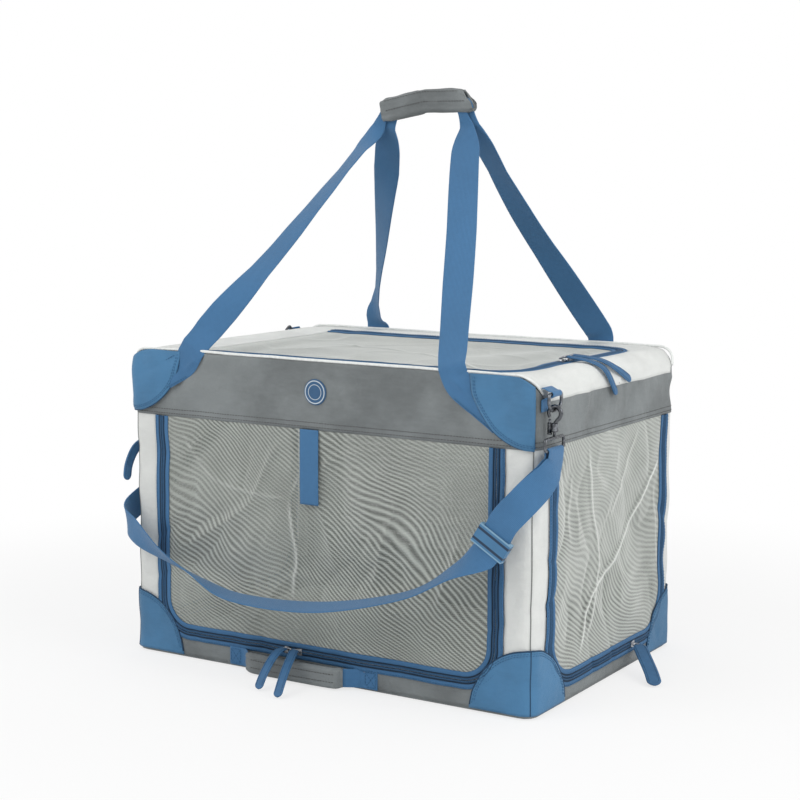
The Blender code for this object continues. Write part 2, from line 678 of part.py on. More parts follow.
def handle(name, side, finish, parent):
    """A loop of webbing sewn to the band at both ends. Its width lies across its line, in its own leaning plane."""
    path = [Vector((p[0], side * handle_depth(p[1]), p[1])) for p in handle_line()]
    lean = Vector((0, side * (handle_depth(HEIGHT) - HANDLE_IN), EDGE_CLEAR - GRIP_FOOT)).normalized()
    sheet = lean.cross(Vector((1, 0, 0)))
    sheet = sheet if sheet.y > 0 else -sheet
    rings = []
    for i, here in enumerate(path):
        along = (path[min(i + 1, len(path) - 1)] - path[max(i - 1, 0)]).normalized()
        leaning = min(max(min(here.z - EDGE_CLEAR, GRIP_FOOT - here.z) / WEBBING, 0), 1)
        facing = Vector((0, 1, 0)).lerp(sheet, leaning)
        across = along.cross(facing).normalized()
        facing = across.cross(along)
        gathered = min(max((here.z - GATHER_FOOT) / (GATHER_HEAD - GATHER_FOOT), 0), 1)
        half = (WEBBING + (GATHERED - WEBBING) * gathered) / 2
        thick = WEBBING_THICK * (1 + gathered) / 2
        rings.append([here + across * a + facing * b
                      for a, b in ((-half, -thick), (-half, thick), (half, thick), (half, -thick))])
    Shape().loft(rings).piece(name, finish, parent)


def grip(finish, wrap_parent, flap_parent):
    """A padded wrap on the rear handle, closed round both handles by its front flap."""
    corners = [Vector((x, 0, z)) for x, z in (GRIP_LEFT, GRIP_BEND, GRIP_RIGHT)]
    path = rounded(corners, [0, GRIP_BEND_RADIUS, 0])
    outward = [Vector((0, -1, 0))] * len(path)
    deep, tall = GRIP_CAVITY / 2, GRIP_HEIGHT / 2 - GRIP_WALL
    back, high = deep + GRIP_WALL, GRIP_HEIGHT / 2
    lip, round_off = deep - GAP, 0.002
    wrap = [(lip, high), (lip, tall), (-deep, tall), (-deep, -tall), (lip, -tall), (lip, -high),
            (round_off - back, -high), (-back, round_off - high), (-back, high - round_off), (round_off - back, high)]
    flap = [(deep, high), (deep, -high), (deep + round_off, -high), (back, round_off - high),
            (back, high - round_off), (deep + round_off, high)]
    Shape().ribbon(path, outward, wrap).piece("grip_wrap", finish, wrap_parent)
    Shape().ribbon(path, outward, flap).piece("grip_flap", finish, flap_parent)


# Small webbing on the front

def tie_strap(finish, parent):
    """The hanging strap that holds the rolled-up front door."""
    low, high, half = HEAD_BAND_FOOT - TIE_LENGTH, HEAD_BAND_FOOT, TIE_WIDTH / 2
    outline = [(TIE_X - half, low), (TIE_X + half, low), (TIE_X + half, high), (TIE_X - half, high)]
    Shape().prism(outline, FRONT, 2 * GAP, 2 * GAP + WEBBING_THICK).piece("tie_strap", finish, parent)


def grab_handle(webbing_finish, sleeve_finish, parent):
    """The low handle on the front: webbing with a padded sleeve, standing off the base band."""
    stand, flat, stub = GRAB_STAND, GAP + WEBBING_THICK / 2, 0.020
    knots = [Vector(p) for p in (
        (GRAB_LEFT - stub, flat), (GRAB_LEFT, flat), (GRAB_LEFT + 0.010, flat + stand * 0.25),
        (GRAB_LEFT + 0.022, stand * 0.80), (GRAB_SLEEVE_LEFT + 0.030, stand), (GRAB_SLEEVE_RIGHT - 0.020, stand),
        (GRAB_RIGHT - 0.028, stand * 0.65), (GRAB_RIGHT - 0.010, flat + stand * 0.12), (GRAB_RIGHT, flat),
        (GRAB_RIGHT + stub, flat))]
    line = smooth_line(knots, 4)
    path = [FRONT @ Vector((p[0], GRAB_HEIGHT, max(p[1], flat))) for p in line]
    up = [Vector((0, 0, 1))] * len(path)
    Shape().ribbon(path, up, flat_section(GRAB_WEBBING, WEBBING_THICK)).piece("grab_webbing", webbing_finish, parent)

    held = [i for i, p in enumerate(line) if GRAB_SLEEVE_LEFT <= p[0] <= GRAB_SLEEVE_RIGHT]
    half, thick, round_off = GRAB_SLEEVE_HEIGHT / 2, GRAB_SLEEVE_THICK / 2, 0.002
    outer = [(half, thick - round_off), (half - round_off, thick), (round_off - half, thick),
             (-half, thick - round_off), (-half, round_off - thick), (round_off - half, -thick),
             (half - round_off, -thick), (half, round_off - thick)]
    sleeve = Shape().ribbon([path[i] for i in held], [up[0]] * len(held), outer)
    obj = sleeve.piece("grab_sleeve", sleeve_finish, parent)
    beyond = range(held[0] - 1, held[-1] + 2)
    bore = Shape().ribbon([path[i] for i in beyond], [up[0]] * len(beyond),
                          flat_section(GRAB_WEBBING + 2 * GAP, WEBBING_THICK + 2 * GAP))
    bore.change(obj, "DIFFERENCE", "bore")


# Ring, trigger hook and swivel eye at each end of the shoulder strap.
# Their own axes: w out of the cloth, v along the ring's straight bar, z up the link

def link_axes():
    y, z = FRONT_RING
    front = Matrix(((1, 0, 0, SKIN_X + RING_STAND), (0, 1, 0, -y), (0, 0, 1, z), (0, 0, 0, 1)))
    y, z = REAR_RING
    c, s = cos(REAR_PULL), sin(REAR_PULL)
    rear = Matrix(((-1, 0, 0, -SKIN_X - RING_STAND), (0, -c, s, y), (0, s, c, z), (0, 0, 0, 1)))
    return {"front": front, "rear": rear}


def in_link(points):
    return [Vector((w, v, z)) for w, v, z in points]


def d_ring(name, finish, parent):
    half = RING_WIDTH / 2 - RING_WIRE / 2
    corners = in_link([(0, half, 0), (0, -half, 0), (0, -half, -RING_DROP), (0, half, -RING_DROP)])
    path = rounded(corners, [0.003, 0.003, 0.0125, 0.0125], closed=True)
    Shape().tube(path, RING_WIRE, closed=True).piece(name, finish, parent, local=True)


def ring_loop(name, place, finish, top):
    """Folded webbing sewn to the head band, round the ring's straight bar."""
    grip_radius = RING_WIRE / 2 + GAP + WEBBING_THICK / 2
    flat = -RING_STAND + GAP + WEBBING_THICK / 2
    turns = [radians(-25 + 44 * i) for i in range(6)]
    line = [(flat, 0.0062), (flat + 0.0022, 0.0066)]
    line += [(grip_radius * sin(a), grip_radius * cos(a)) for a in turns]
    line += [(flat + 0.0022, -0.0072), (flat, -0.0078), (flat, -0.022)]
    path = [place @ Vector((w, 0, z)) for w, z in line]
    across = [place.to_3x3() @ Vector((0, 1, 0))] * len(path)
    width = RING_WIDTH - 2 * RING_WIRE - 0.006
    Shape().ribbon(path, across, flat_section(width, WEBBING_THICK)).piece(name, finish, top)


HOOK_CENTRE = -RING_DROP - (HOOK_INSIDE / 2 - RING_WIRE / 2 - 0.0005)
HOOK_RADIUS = (HOOK_INSIDE + HOOK_WIRE) / 2
HOOK_ROOT = radians(-58)
HOOK_NOSE = radians(217)
BARREL_FOOT = BARREL_TOP - BARREL_LENGTH
BOLT_W = HOOK_RADIUS * cos(HOOK_NOSE)
GUIDE_FOOT = BARREL_FOOT - GAP
BOLT_TIP = HOOK_CENTRE + HOOK_RADIUS * sin(HOOK_NOSE) - HOOK_WIRE / 2 - 2 * GAP


def snap_hook(name, finish, parent):
    """A bolt snap: hook, barrel and the bolt's guide tube in one casting."""
    turns = [HOOK_ROOT + (HOOK_NOSE - HOOK_ROOT) * i / 12 for i in range(13)]
    line = [(0, 0, BARREL_TOP - 0.001)] + [(HOOK_RADIUS * cos(a), 0, HOOK_CENTRE + HOOK_RADIUS * sin(a)) for a in turns]
    obj = Shape().tube(in_link(line), HOOK_WIRE).piece(name, finish, parent, local=True)
    Shape().rod((0, 0, BARREL_FOOT), (0, 0, BARREL_TOP), BARREL).change(obj, "UNION", "barrel")
    guide = Shape().rod((BOLT_W, 0, GUIDE_FOOT), (BOLT_W, 0, BARREL_TOP), BOLT + 0.003, 10)
    guide.change(obj, "UNION", "guide")
    bores = Shape().rod((BOLT_W, 0, GUIDE_FOOT - 0.01), (BOLT_W, 0, BARREL_TOP + 0.0015), BOLT + 2 * GAP, 10)
    bores.rod((0, 0, BARREL_FOOT - 0.01), (0, 0, BARREL_FOOT + 0.0056), EYE_WIRE + 2 * GAP, 10)
    bores.change(obj, "DIFFERENCE", "bores")


def hook_bolt(name, finish, parent):
    """The sliding bolt that closes the hook, with its thumb knob below the guide."""
    foot = GUIDE_FOOT - GAP
    bolt = Shape().rod((BOLT_W, 0, foot - 0.001), (BOLT_W, 0, BOLT_TIP), BOLT, 10)
    obj = bolt.piece(name, finish, parent, local=True)
    Shape().rod((BOLT_W, 0, foot - 0.0026), (BOLT_W, 0, foot), BOLT_KNOB, 12).change(obj, "UNION", "knob")


def swivel_eye(name, finish, parent):
    """The strap's loop: a stirrup that turns in the hook's barrel."""
    half = EYE_INSIDE / 2 + EYE_WIRE / 2
    corners = in_link([(0, half, EYE_TOP), (0, -half, EYE_TOP), (0, -half, EYE_BAR), (0, half, EYE_BAR)])
    path = rounded(corners, [0.004] * 4, steps=3, closed=True)
    obj = Shape().tube(path, EYE_WIRE, closed=True).piece(name, finish, parent, local=True)
    Shape().rod((0, 0, EYE_TOP), (0, 0, BARREL_FOOT + 0.0052), EYE_WIRE, 10).change(obj, "UNION", "post")


def strap_fittings(steel, webbing_finish, top):
    for word, place in link_axes().items():
        link = bpy.data.objects.new(f"link_{word}_pivot", None)
        bpy.context.scene.collection.objects.link(link)
        link.parent = top
        link.matrix_parent_inverse = Matrix.Translation(-Vector((-LEG_X, 0, LEG_HEAD)))
        link.matrix_basis = place
        d_ring(f"d_ring_{word}", steel, link)
        snap_hook(f"snap_hook_{word}", steel, link)
        hook_bolt(f"hook_bolt_{word}", steel, link)
        swivel_eye(f"swivel_eye_{word}", steel, link)
        ring_loop(f"d_ring_loop_{word}", place, webbing_finish, top)


# Shoulder strap

ADJUSTER_KNOT = 6
LAYER_STEP = 0.0011
LAYER_SPREAD = 0.0016
STRAP_STEPS = 5
BAR_TURN = EYE_WIRE / 2 + GAP + STRAP_THICK / 2


def strap_route():
    """The strap's middle line from the front eye to the rear one, with the direction of its width."""
    right, left, near, far, top = WIDTH / 2, -WIDTH / 2, -DEPTH / 2, DEPTH / 2, HEIGHT
    held, fall = Vector((right - 0.0440, near - 0.0245, top - 0.198)), Vector((-0.52, -0.03, -0.854))
    down, back = (0.854, 0, -0.52), (0, cos(REAR_PULL), -sin(REAR_PULL))
    knots = (
        ((right + 0.0116, near + 0.0230, top - 0.093), (0, 1, 0)),
        ((right + 0.0112, near + 0.0200, top - 0.106), (0.06, 0.99, -0.10)),
        ((right + 0.0085, near + 0.0080, top - 0.121), (0.40, 0.86, -0.32)),
        ((right - 0.0060, near - 0.0160, top - 0.145), (0.78, 0.45, -0.44)),
        (held - fall * 0.034, (0.854, 0.06, -0.51)),
        (held - fall * 0.017, down),
        (held, down),
        (held + fall * 0.017, down),
        ((right - 0.0900, near - 0.0320, top - 0.245), (0.52, -0.55, -0.65)),
        ((right - 0.1550, near - 0.0400, top - 0.283), (0.14, -0.93, -0.30)),
        ((0.0280, near - 0.0440, top - 0.312), (0.03, -0.97, -0.17)),
        ((left + 0.2050, near - 0.0400, top - 0.318), (-0.05, -0.97, -0.17)),
        ((left + 0.1330, near - 0.0320, top - 0.297), (-0.14, -0.88, -0.38)),
        ((left + 0.0750, near - 0.0240, top - 0.272), (-0.32, -0.55, -0.72)),
        ((left + 0.0180, near - 0.0150, top - 0.247), (-0.45, 0.05, -0.88)),
        ((left - 0.0115, near + 0.0040, top - 0.231), (-0.05, 0.35, -0.90)),
        ((left - 0.0140, near + 0.0600, top - 0.206), (0, 0.45, -0.89)),
        ((left - 0.0140, far - 0.2600, top - 0.156), back),
        ((left - 0.0125, far - 0.1600, top - 0.097), back),
        ((left - 0.0118, far - 0.1100, top - 0.068), back),
    )
    return [(Vector(place), Vector(width)) for place, width in knots]


def bar_turn(place, first, last, steps=6):
    """Points round an eye's bar, from one side of the strap to the other."""
    turns = [first + (last - first) * i / steps for i in range(steps + 1)]
    line = [(BAR_TURN * cos(a), EYE_BAR + BAR_TURN * sin(a)) for a in turns]
    line = [(line[0][0], EYE_BAR - EYE_WIRE)] + line + [(line[-1][0], EYE_BAR - EYE_WIRE)]
    return [place @ Vector((w, 0, z)) for w, z in line]


def smooth_route(knots, steps):
    places = smooth_line([p for p, _ in knots], steps)
    widths = smooth_line([w for _, w in knots], steps)
    return list(zip(places, [w.normalized() for w in widths]))


def layer(route, offset, spread=0.0):
    """The route, shifted off the strap's middle along its face, and by spread more at its start."""
    shifted = []
    for i, (here, width) in enumerate(route):
        along = (route[min(i + 1, len(route) - 1)][0] - route[max(i - 1, 0)][0]).normalized()
        further = offset + spread * (1 - i / (len(route) - 1))
        shifted.append((here + along.cross(width).normalized() * further, width))
    return shifted


def shoulder_strap(finish, top):
    """One length of webbing: from the adjuster up to the front eye, back through it, and across to the rear."""
    knots, axes = strap_route(), link_axes()
    doubled = smooth_route(knots[:ADJUSTER_KNOT], STRAP_STEPS)[1:] + [knots[ADJUSTER_KNOT]]
    single = [knots[ADJUSTER_KNOT]] + smooth_route(knots[ADJUSTER_KNOT + 1:], STRAP_STEPS)
    front = [(spot, Vector((0, 1, 0))) for spot in bar_turn(axes["front"], pi, 0)]
    rear = [(spot, knots[-1][1]) for spot in bar_turn(axes["rear"], 0, pi)]
    tail = layer(single[-STRAP_STEPS - 1:-1], -1.6 * LAYER_STEP)[::-1]
    inner, outer = layer(doubled, -LAYER_STEP, -LAYER_SPREAD), layer(doubled, LAYER_STEP, LAYER_SPREAD)
    route = inner[::-1] + front + outer[:-1] + layer(single, LAYER_STEP) + rear + tail
    section = flat_section(WEBBING, STRAP_THICK)
    strap = Shape().ribbon([p for p, _ in route], [w for _, w in route], section, twisted=True)
    strap.piece("shoulder_strap", finish, top)


def strap_adjuster(finish, parent):
    """A plastic slider on the strap, with the middle bar of a tri-glide showing in its window."""
    route = strap_route()
    here, width = route[ADJUSTER_KNOT]
    along = (route[ADJUSTER_KNOT + 1][0] - route[ADJUSTER_KNOT - 1][0]).normalized()
    normal = width.cross(along).normalized()
    place = Matrix((along.cross(normal), along, normal)).transposed().to_4x4()
    place.translation = here
    across = WEBBING + 2 * ADJUSTER_RIM + 2 * GAP
    obj = Shape().block((0, 0, 0), (across, ADJUSTER_LENGTH, ADJUSTER_THICK), place).piece("strap_adjuster", finish, parent)
    slot = Shape().block((0, 0, 0), (WEBBING + 2 * GAP, 2 * ADJUSTER_LENGTH, ADJUSTER_SLOT), place)
    slot.change(obj, "DIFFERENCE", "slot")
    windows = Shape()
    for side in (-1, 1):
        centre = (0, side * (ADJUSTER_WINDOW / 2 + 0.0022), ADJUSTER_THICK / 2)
        windows.block(centre, (WEBBING - 0.004, ADJUSTER_WINDOW, ADJUSTER_THICK), place)
    windows.change(obj, "DIFFERENCE", "windows")


# Zip sliders and their pulls

def slider(name, face, u, v, turn, finish, parent):
    """A tapered slider over the zip's seam, with a bridge for its pull. It points along the zip by turn."""
    place = face @ Matrix.Translation((u, v, 0)) @ Matrix.Rotation(turn, 4, "Z")
    half, wide = SLIDER_LENGTH / 2, SLIDER_WIDTH / 2
    outline = [(-half, -wide * 0.6), (half * 0.3, -wide), (half, -wide), (half, wide), (half * 0.3, wide),
               (-half, wide * 0.6)]
    low, body = 2 * GAP, SLIDER_THICK * 0.6
    obj = Shape().prism(outline, place, low, low + body).piece(name, finish, parent)
    foot = low + body * 0.7
    bridge = [Vector(p) for p in ((-half * 0.6, 0, foot), (-half * 0.5, 0, low + SLIDER_THICK),
                                  (half * 0.5, 0, low + SLIDER_THICK), (half * 0.6, 0, foot))]
    path = [place @ p for p in bridge]
    across = (place.to_3x3() @ Vector((0, 1, 0))).normalized()
    arch = Shape().ribbon(path, [across] * len(path), flat_section(0.0022, 0.0009))
    arch.change(obj, "UNION", "bridge")


def pull(name, knots, across, width, finish, parent):
    """A tab that starts just off its slider and hangs along knots."""
    path = smooth_line(knots, 3)
    rings = []
    for i, here in enumerate(path):
        along = (path[min(i + 1, len(path) - 1)] - path[max(i - 1, 0)]).normalized()
        normal = along.cross(across).normalized()
        side = normal.cross(along)
        half = width / 2 * min(1, 0.35 + 2.2 * i / (len(path) - 1))
        thick = PULL_THICK / 2
        rings.append([here + side * a + normal * b
                      for a, b in ((-half, -thick), (half, -thick), (half, thick), (-half, thick))])
    Shape().loft(rings).piece(name, finish, parent)


PULL_START = SLIDER_THICK + 6 * GAP + PULL_THICK / 2


def front_sliders(steel, rubber, pivots):
    """The front door's two sliders meet left of the middle. Their pulls hang over the grab handle to the ground."""
    foot, over = DOORS["front"].foot, GRAB_STAND + GRAB_SLEEVE_THICK
    for word, u, tip, turn in zip(("front_left", "front_right"), FRONT_SLIDERS_X, FRONT_PULL_TIPS, (pi, 0)):
        slider(f"slider_{word}", FRONT, u, foot, turn, steel, pivots[f"slider_{word}"])
        run, reach = tip[0] - u, tip[1] - over
        line = ((0, foot, PULL_START - 2 * GAP), (0.05, foot + 0.0045, 0.0130), (0.30, foot + 0.0035, over),
                (0.60, foot - 0.0060, over + reach * 0.40), (0.85, foot - 0.0200, over + reach * 0.76),
                (1, PULL_THICK, tip[1]))
        knots = [FRONT @ Vector((u + run * share, v, w)) for share, v, w in line]
        pull(f"pull_{word}", knots, Vector((1, 0, 0)), FRONT_PULL_WIDTH, rubber, pivots[f"pull_{word}"])


def side_sliders(steel, rubber, pivots):
    """The right door's slider lies low, its pull on the ground. The left door's waits up the zip near the front."""
    foot = DOORS["right"].foot
    u = RIGHT_SLIDER_Y
    slider("slider_right", RIGHT, u, foot, 0, steel, pivots["slider_right"])
    line = ((0, 0, PULL_START), (-0.007, -0.001, 0.0160), (-0.028, -0.007, 0.0320), (-0.052, -0.018, 0.0490),
            (-0.070, PULL_THICK * 1.2 - foot, 0.0610))
    knots = [RIGHT @ Vector((u + du, foot + dv, w)) for du, dv, w in line]
    pull("pull_right", knots, Vector((0.70, 0.70, 0.10)).normalized(), SIDE_PULL_WIDTH, rubber, pivots["pull_right"])

    u, v = DOORS["left"].high, LEFT_SLIDER_Z
    slider("slider_left", LEFT, u, v, pi / 2, steel, pivots["slider_left"])
    line = ((0, 0, PULL_START), (0.006, -0.004, 0.0100), (0.024, -0.014, 0.0150), (0.037, -0.034, 0.0165),
            (0.041, -0.055, 0.0165))
    knots = [LEFT @ Vector((u + du, v + dv, w)) for du, dv, w in line]
    pull("pull_left", knots, Vector((0, -0.82, 0.57)), SIDE_PULL_WIDTH, rubber, pivots["pull_left"])


def top_sliders(steel, rubber, pivots):
    """The top door's two sliders meet on its right, and their pulls lie over the shoulder."""
    foot = DOORS["top"].foot
    x, start = -foot, SKIN_TOP + PULL_START
    round_x, out = SKIN_X - SHOULDER, SHOULDER + 2 * GAP + PULL_THICK
    words, falls = ("top_front", "top_back"), (0.016, 0.002)
    for word, y, tip, turn, fall in zip(words, TOP_SLIDERS_Y, TOP_PULL_TIPS_Y, (pi, 0), falls):
        slider(f"slider_{word}", TOP, y, foot, turn, steel, pivots[f"slider_{word}"])
        run = tip - y
        knots = [Vector((x, y, start)), Vector((x + 0.006, y + run * 0.12, start + 0.0008))]
        for share, angle in ((0.36, 25), (0.62, 62)):
            knots.append(Vector((round_x + out * sin(radians(angle)), y + run * share,
                                 SHOULDER_FOOT + out * cos(radians(angle)) + 0.0008)))
        knots.append(Vector((round_x + out + 0.0012, tip, SHOULDER_FOOT - fall)))
        pull(f"pull_{word}", knots, Vector((0, 1, 0)), TOP_PULL_WIDTH, rubber, pivots[f"pull_{word}"])


def joint_pivots():
    """The tree of pivots, each on its joint's axis."""
    made = {}

    def add(name, place, parent=None):
        made[name] = pivot(name, place, made.get(parent))

    for hand, x in (("left", -LEG_X), ("right", LEG_X)):
        add(f"lower_leg_{hand}", (x, 0, LEG_FOOT))
        add(f"upper_leg_{hand}", (x, 0, KNUCKLE_Z), f"lower_leg_{hand}")
    add("top", (-LEG_X, 0, LEG_HEAD), "upper_leg_left")
    add("front_door", (0, -SKIN_Y, HEAD_BAND_FOOT), "top")
    add("right_door", (SKIN_X, 0, HEAD_BAND_FOOT), "top")
    add("left_door", (-SKIN_X, 0, HEAD_BAND_FOOT), "top")
    add("top_door", (-DOORS["top"].head, 0, SKIN_TOP), "top")
    add("tie_strap", (TIE_X, -SKIN_Y, HEAD_BAND_FOOT), "top")
    add("front_handle", (0, -SKIN_Y - HANDLE_OUT, HINGE_Z), "top")
    add("rear_handle", (0, SKIN_Y + HANDLE_OUT, HINGE_Z), "top")
    add("grip_flap", (0, -GRIP_CAVITY / 2, GRIP_RIGHT[1] + GRIP_HEIGHT / 2 + 2 * GAP), "rear_handle")
    add("grab", (0, -SKIN_Y - HANDLE_OUT, GRAB_HEIGHT))
    add("strap_adjuster", strap_route()[ADJUSTER_KNOT][0], "top")
    for word, face, u, v, parent in (
            ("front_left", FRONT, FRONT_SLIDERS_X[0], DOORS["front"].foot, None),
            ("front_right", FRONT, FRONT_SLIDERS_X[1], DOORS["front"].foot, None),
            ("right", RIGHT, RIGHT_SLIDER_Y, DOORS["right"].foot, None),
            ("left", LEFT, DOORS["left"].high, LEFT_SLIDER_Z, None),
            ("top_front", TOP, TOP_SLIDERS_Y[0], DOORS["top"].foot, "top"),
            ("top_back", TOP, TOP_SLIDERS_Y[1], DOORS["top"].foot, "top")):
        add(f"slider_{word}", face @ Vector((u, v, 0)), parent)
        add(f"pull_{word}", face @ Vector((u, v, PULL_START)), f"slider_{word}")
    return made


def build():
    for obj in list(bpy.data.objects):
        bpy.data.objects.remove(obj, do_unlink=True)
    charcoal = paint("charcoal_polyester", CHARCOAL, 0.85)
    pale = paint("pale_polyester", PALE, 0.85)
    net = paint("door_net", NET, 0.9)
    guard = paint("blue_guard_cloth", BLUE, 0.75)
    webbing = paint("blue_webbing", BLUE, 0.8)
    tape = paint("blue_zip_tape", BLUE, 0.7)
    steel = paint("zinc_plated_steel", STEEL, 0.35, 1.0)
    fleece = paint("pale_fleece", PALE, 0.95)
    board = paint("grey_board", CHARCOAL, 0.9)
    plastic = paint("blue_plastic", BLUE, 0.45)

    pivots = joint_pivots()
    top = pivots["top"]
    base_cover(charcoal)
    upright_walls(pale)
    head_band(charcoal, top)
    top_panel(pale, top)
    corner_patches(guard, top)
    zip_tracks(tape, top)
    door_panels(net, pivots)
    badge(plastic, top)
    frame_ring("base_frame", BASE_RING_Z, LEG_FOOT, steel)
    frame_ring("top_frame", TOP_RING_Z, LEG_HEAD, steel, top)
    for hand, side in (("left", -1), ("right", 1)):
        half_leg(f"lower_leg_{hand}", side, 1, steel, pivots[f"lower_leg_{hand}"])
        half_leg(f"upper_leg_{hand}", side, -1, steel, pivots[f"upper_leg_{hand}"])
    floor(board, fleece)
    handle("front_handle", -1, webbing, pivots["front_handle"])
    handle("rear_handle", 1, webbing, pivots["rear_handle"])
    grip(charcoal, pivots["rear_handle"], pivots["grip_flap"])
    tie_strap(webbing, pivots["tie_strap"])
    grab_handle(webbing, charcoal, pivots["grab"])
    strap_fittings(steel, webbing, top)
    shoulder_strap(webbing, top)
    strap_adjuster(plastic, pivots["strap_adjuster"])
    front_sliders(steel, plastic, pivots)
    side_sliders(steel, plastic, pivots)
    top_sliders(steel, plastic, pivots)


build()
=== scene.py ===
"""Looks of a soft-sided folding pet carrier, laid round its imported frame. Metres, +Z up, front at -Y."""
from math import atan2, cos, pi, radians, sin

import bmesh
import bpy
import numpy as np
from mathutils import Matrix, Vector


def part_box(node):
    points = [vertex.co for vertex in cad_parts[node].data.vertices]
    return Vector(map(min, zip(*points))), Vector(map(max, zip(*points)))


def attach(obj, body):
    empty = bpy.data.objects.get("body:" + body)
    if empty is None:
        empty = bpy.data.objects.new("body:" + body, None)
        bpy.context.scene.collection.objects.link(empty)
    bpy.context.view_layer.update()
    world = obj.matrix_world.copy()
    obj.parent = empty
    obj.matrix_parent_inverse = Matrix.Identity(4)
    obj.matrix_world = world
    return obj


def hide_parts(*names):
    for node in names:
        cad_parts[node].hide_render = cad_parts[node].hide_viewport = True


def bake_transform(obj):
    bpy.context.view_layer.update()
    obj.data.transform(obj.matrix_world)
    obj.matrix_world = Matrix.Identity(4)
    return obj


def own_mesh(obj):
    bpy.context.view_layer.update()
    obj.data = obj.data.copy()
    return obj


bl_info = {
    "name": "Pet Carrier",
    "version": (1, 0, 0),
    "blender": (4, 5, 0),
    "location": "View3D > Sidebar > Carrier",
    "description": "Dresses the folding pet carrier in cloth, net, webbing and metal",
    "category": "Add Mesh",
}

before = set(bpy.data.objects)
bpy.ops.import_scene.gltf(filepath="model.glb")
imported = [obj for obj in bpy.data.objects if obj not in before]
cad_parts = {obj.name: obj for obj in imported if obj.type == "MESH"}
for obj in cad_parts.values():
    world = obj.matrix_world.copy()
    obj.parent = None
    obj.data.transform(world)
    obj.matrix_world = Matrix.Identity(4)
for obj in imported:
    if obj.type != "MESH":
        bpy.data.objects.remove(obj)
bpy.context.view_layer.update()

# The outer face of the cloth, and the heights of its bands
SKIN_X, SKIN_Y, BASE_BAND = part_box("base_cover")[1]
HEAD_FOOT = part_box("top_band")[0].z
SKIN_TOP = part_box("top_panel")[1].z
SHOULDER_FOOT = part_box("top_panel")[0].z
SHOULDER = SKIN_TOP - SHOULDER_FOOT
# The radius of the upright edges, the width of a zip's tape, the clearance between pieces, and the grids' step
EDGE_RADIUS, TAPE, GAP, SOFT_STEP = 0.018, 0.010, 0.0003, 0.0045

# How far an upright corner's middle line lies in from the flat sides
CORNER_INSET = EDGE_RADIUS * (1 - cos(pi / 4))
# Where the cloth that crumples between the bands starts
WALL_FOOT = BASE_BAND - 0.006

# Low side, high side, foot, head and corner radius of each zip, in its face's own u and v
DOORS = {
    "front": (-0.252, 0.252, 0.036, HEAD_FOOT, 0.045),
    "right": (-0.160, 0.170, 0.030, HEAD_FOOT, 0.055),
    "left": (-0.170, 0.160, 0.030, HEAD_FOOT, 0.055),
    "top": (-0.185, 0.155, -0.258, 0.225, 0.045),
}
FACES = {
    "front": np.array(((1, 0, 0, 0), (0, 0, -1, -SKIN_Y), (0, 1, 0, 0))),
    "back": np.array(((-1, 0, 0, 0), (0, 0, 1, SKIN_Y), (0, 1, 0, 0))),
    "right": np.array(((0, 0, 1, SKIN_X), (1, 0, 0, 0), (0, 1, 0, 0))),
    "left": np.array(((0, 0, -1, -SKIN_X), (-1, 0, 0, 0), (0, 1, 0, 0))),
    "top": np.array(((0, -1, 0, 0), (1, 0, 0, 0), (0, 0, 1, SKIN_TOP))),
}


# Settings

def colour_setting(name, note, value):
    return bpy.props.FloatVectorProperty(name=name, description=note, subtype="COLOR", default=value)


def number_setting(name, note, value, unit="NONE", **limits):
    return bpy.props.FloatProperty(name=name, description=note, default=value, unit=unit, **limits)


class ClothSettings(bpy.types.PropertyGroup):
    slack: number_setting("Slack", "How far the walls wave in and out", 0.0024, "LENGTH", min=0, max=0.004)
    net_slack: number_setting("Net slack", "How far the door nets wave", 0.0050, "LENGTH", min=0, max=0.01)
    band_colour: colour_setting("Band", "Charcoal of the bands", (0.188, 0.206, 0.210))
    pale_colour: colour_setting("Pale cloth", "Pillars and top", (0.725, 0.74, 0.72))
    guard_colour: colour_setting("Guards", "Corner guards", (0.058, 0.176, 0.325))
    net_colour: colour_setting("Net", "Threads of the net", (0.335, 0.358, 0.330))


class WebbingSettings(bpy.types.PropertyGroup):
    width: number_setting("Width", "Width of the handles and the strap", 0.038, "LENGTH")
    thickness: number_setting("Thickness", "Thickness of the webbing", 0.0015, "LENGTH")
    colour: colour_setting("Colour", "Colour of the webbing", (0.052, 0.158, 0.315))
    tape_colour: colour_setting("Zip tape", "Colour of the zips", (0.042, 0.130, 0.265))


class StageSettings(bpy.types.PropertyGroup):
    world: number_setting("Room light", "Strength of the room", 0.80)
    key: number_setting("Key lamp", "Power of the large lamp", 26, "POWER")
    fill: number_setting("Fill lamp", "Power of the second lamp", 24, "POWER")


class CarrierSettings(bpy.types.PropertyGroup):
    cloth: bpy.props.PointerProperty(type=ClothSettings)
    webbing: bpy.props.PointerProperty(type=WebbingSettings)
    stage: bpy.props.PointerProperty(type=StageSettings)


def settings():
    return bpy.context.scene.pet_carrier


# Grids of points

def norm(vectors, keep=False):
    return np.linalg.norm(vectors, axis=-1, keepdims=keep)


def grid_of(*parts):
    """Numbers and arrays of like shape, laid side by side as coordinates."""
    return np.stack(np.broadcast_arrays(*parts), axis=-1).astype(float)


def wrapped(grid):
    """A grid with its first column again at its end."""
    return np.concatenate([grid, grid[:, :1]], axis=1)


def quads(grid):
    """The values at the four corners of each face of a grid."""
    return np.stack([grid[:-1, :-1], grid[:-1, 1:], grid[1:, 1:], grid[1:, :-1]], axis=-1)


def points_of(obj):
    return np.array([v.co for v in obj.data.vertices])


def move_points(obj, points):
    obj.data.vertices.foreach_set("co", points.ravel())


# Cloth surfaces

def smoothstep(low, high, x):
    t = np.clip((x - low) / (high - low), 0, 1)
    return t * t * (3 - 2 * t)


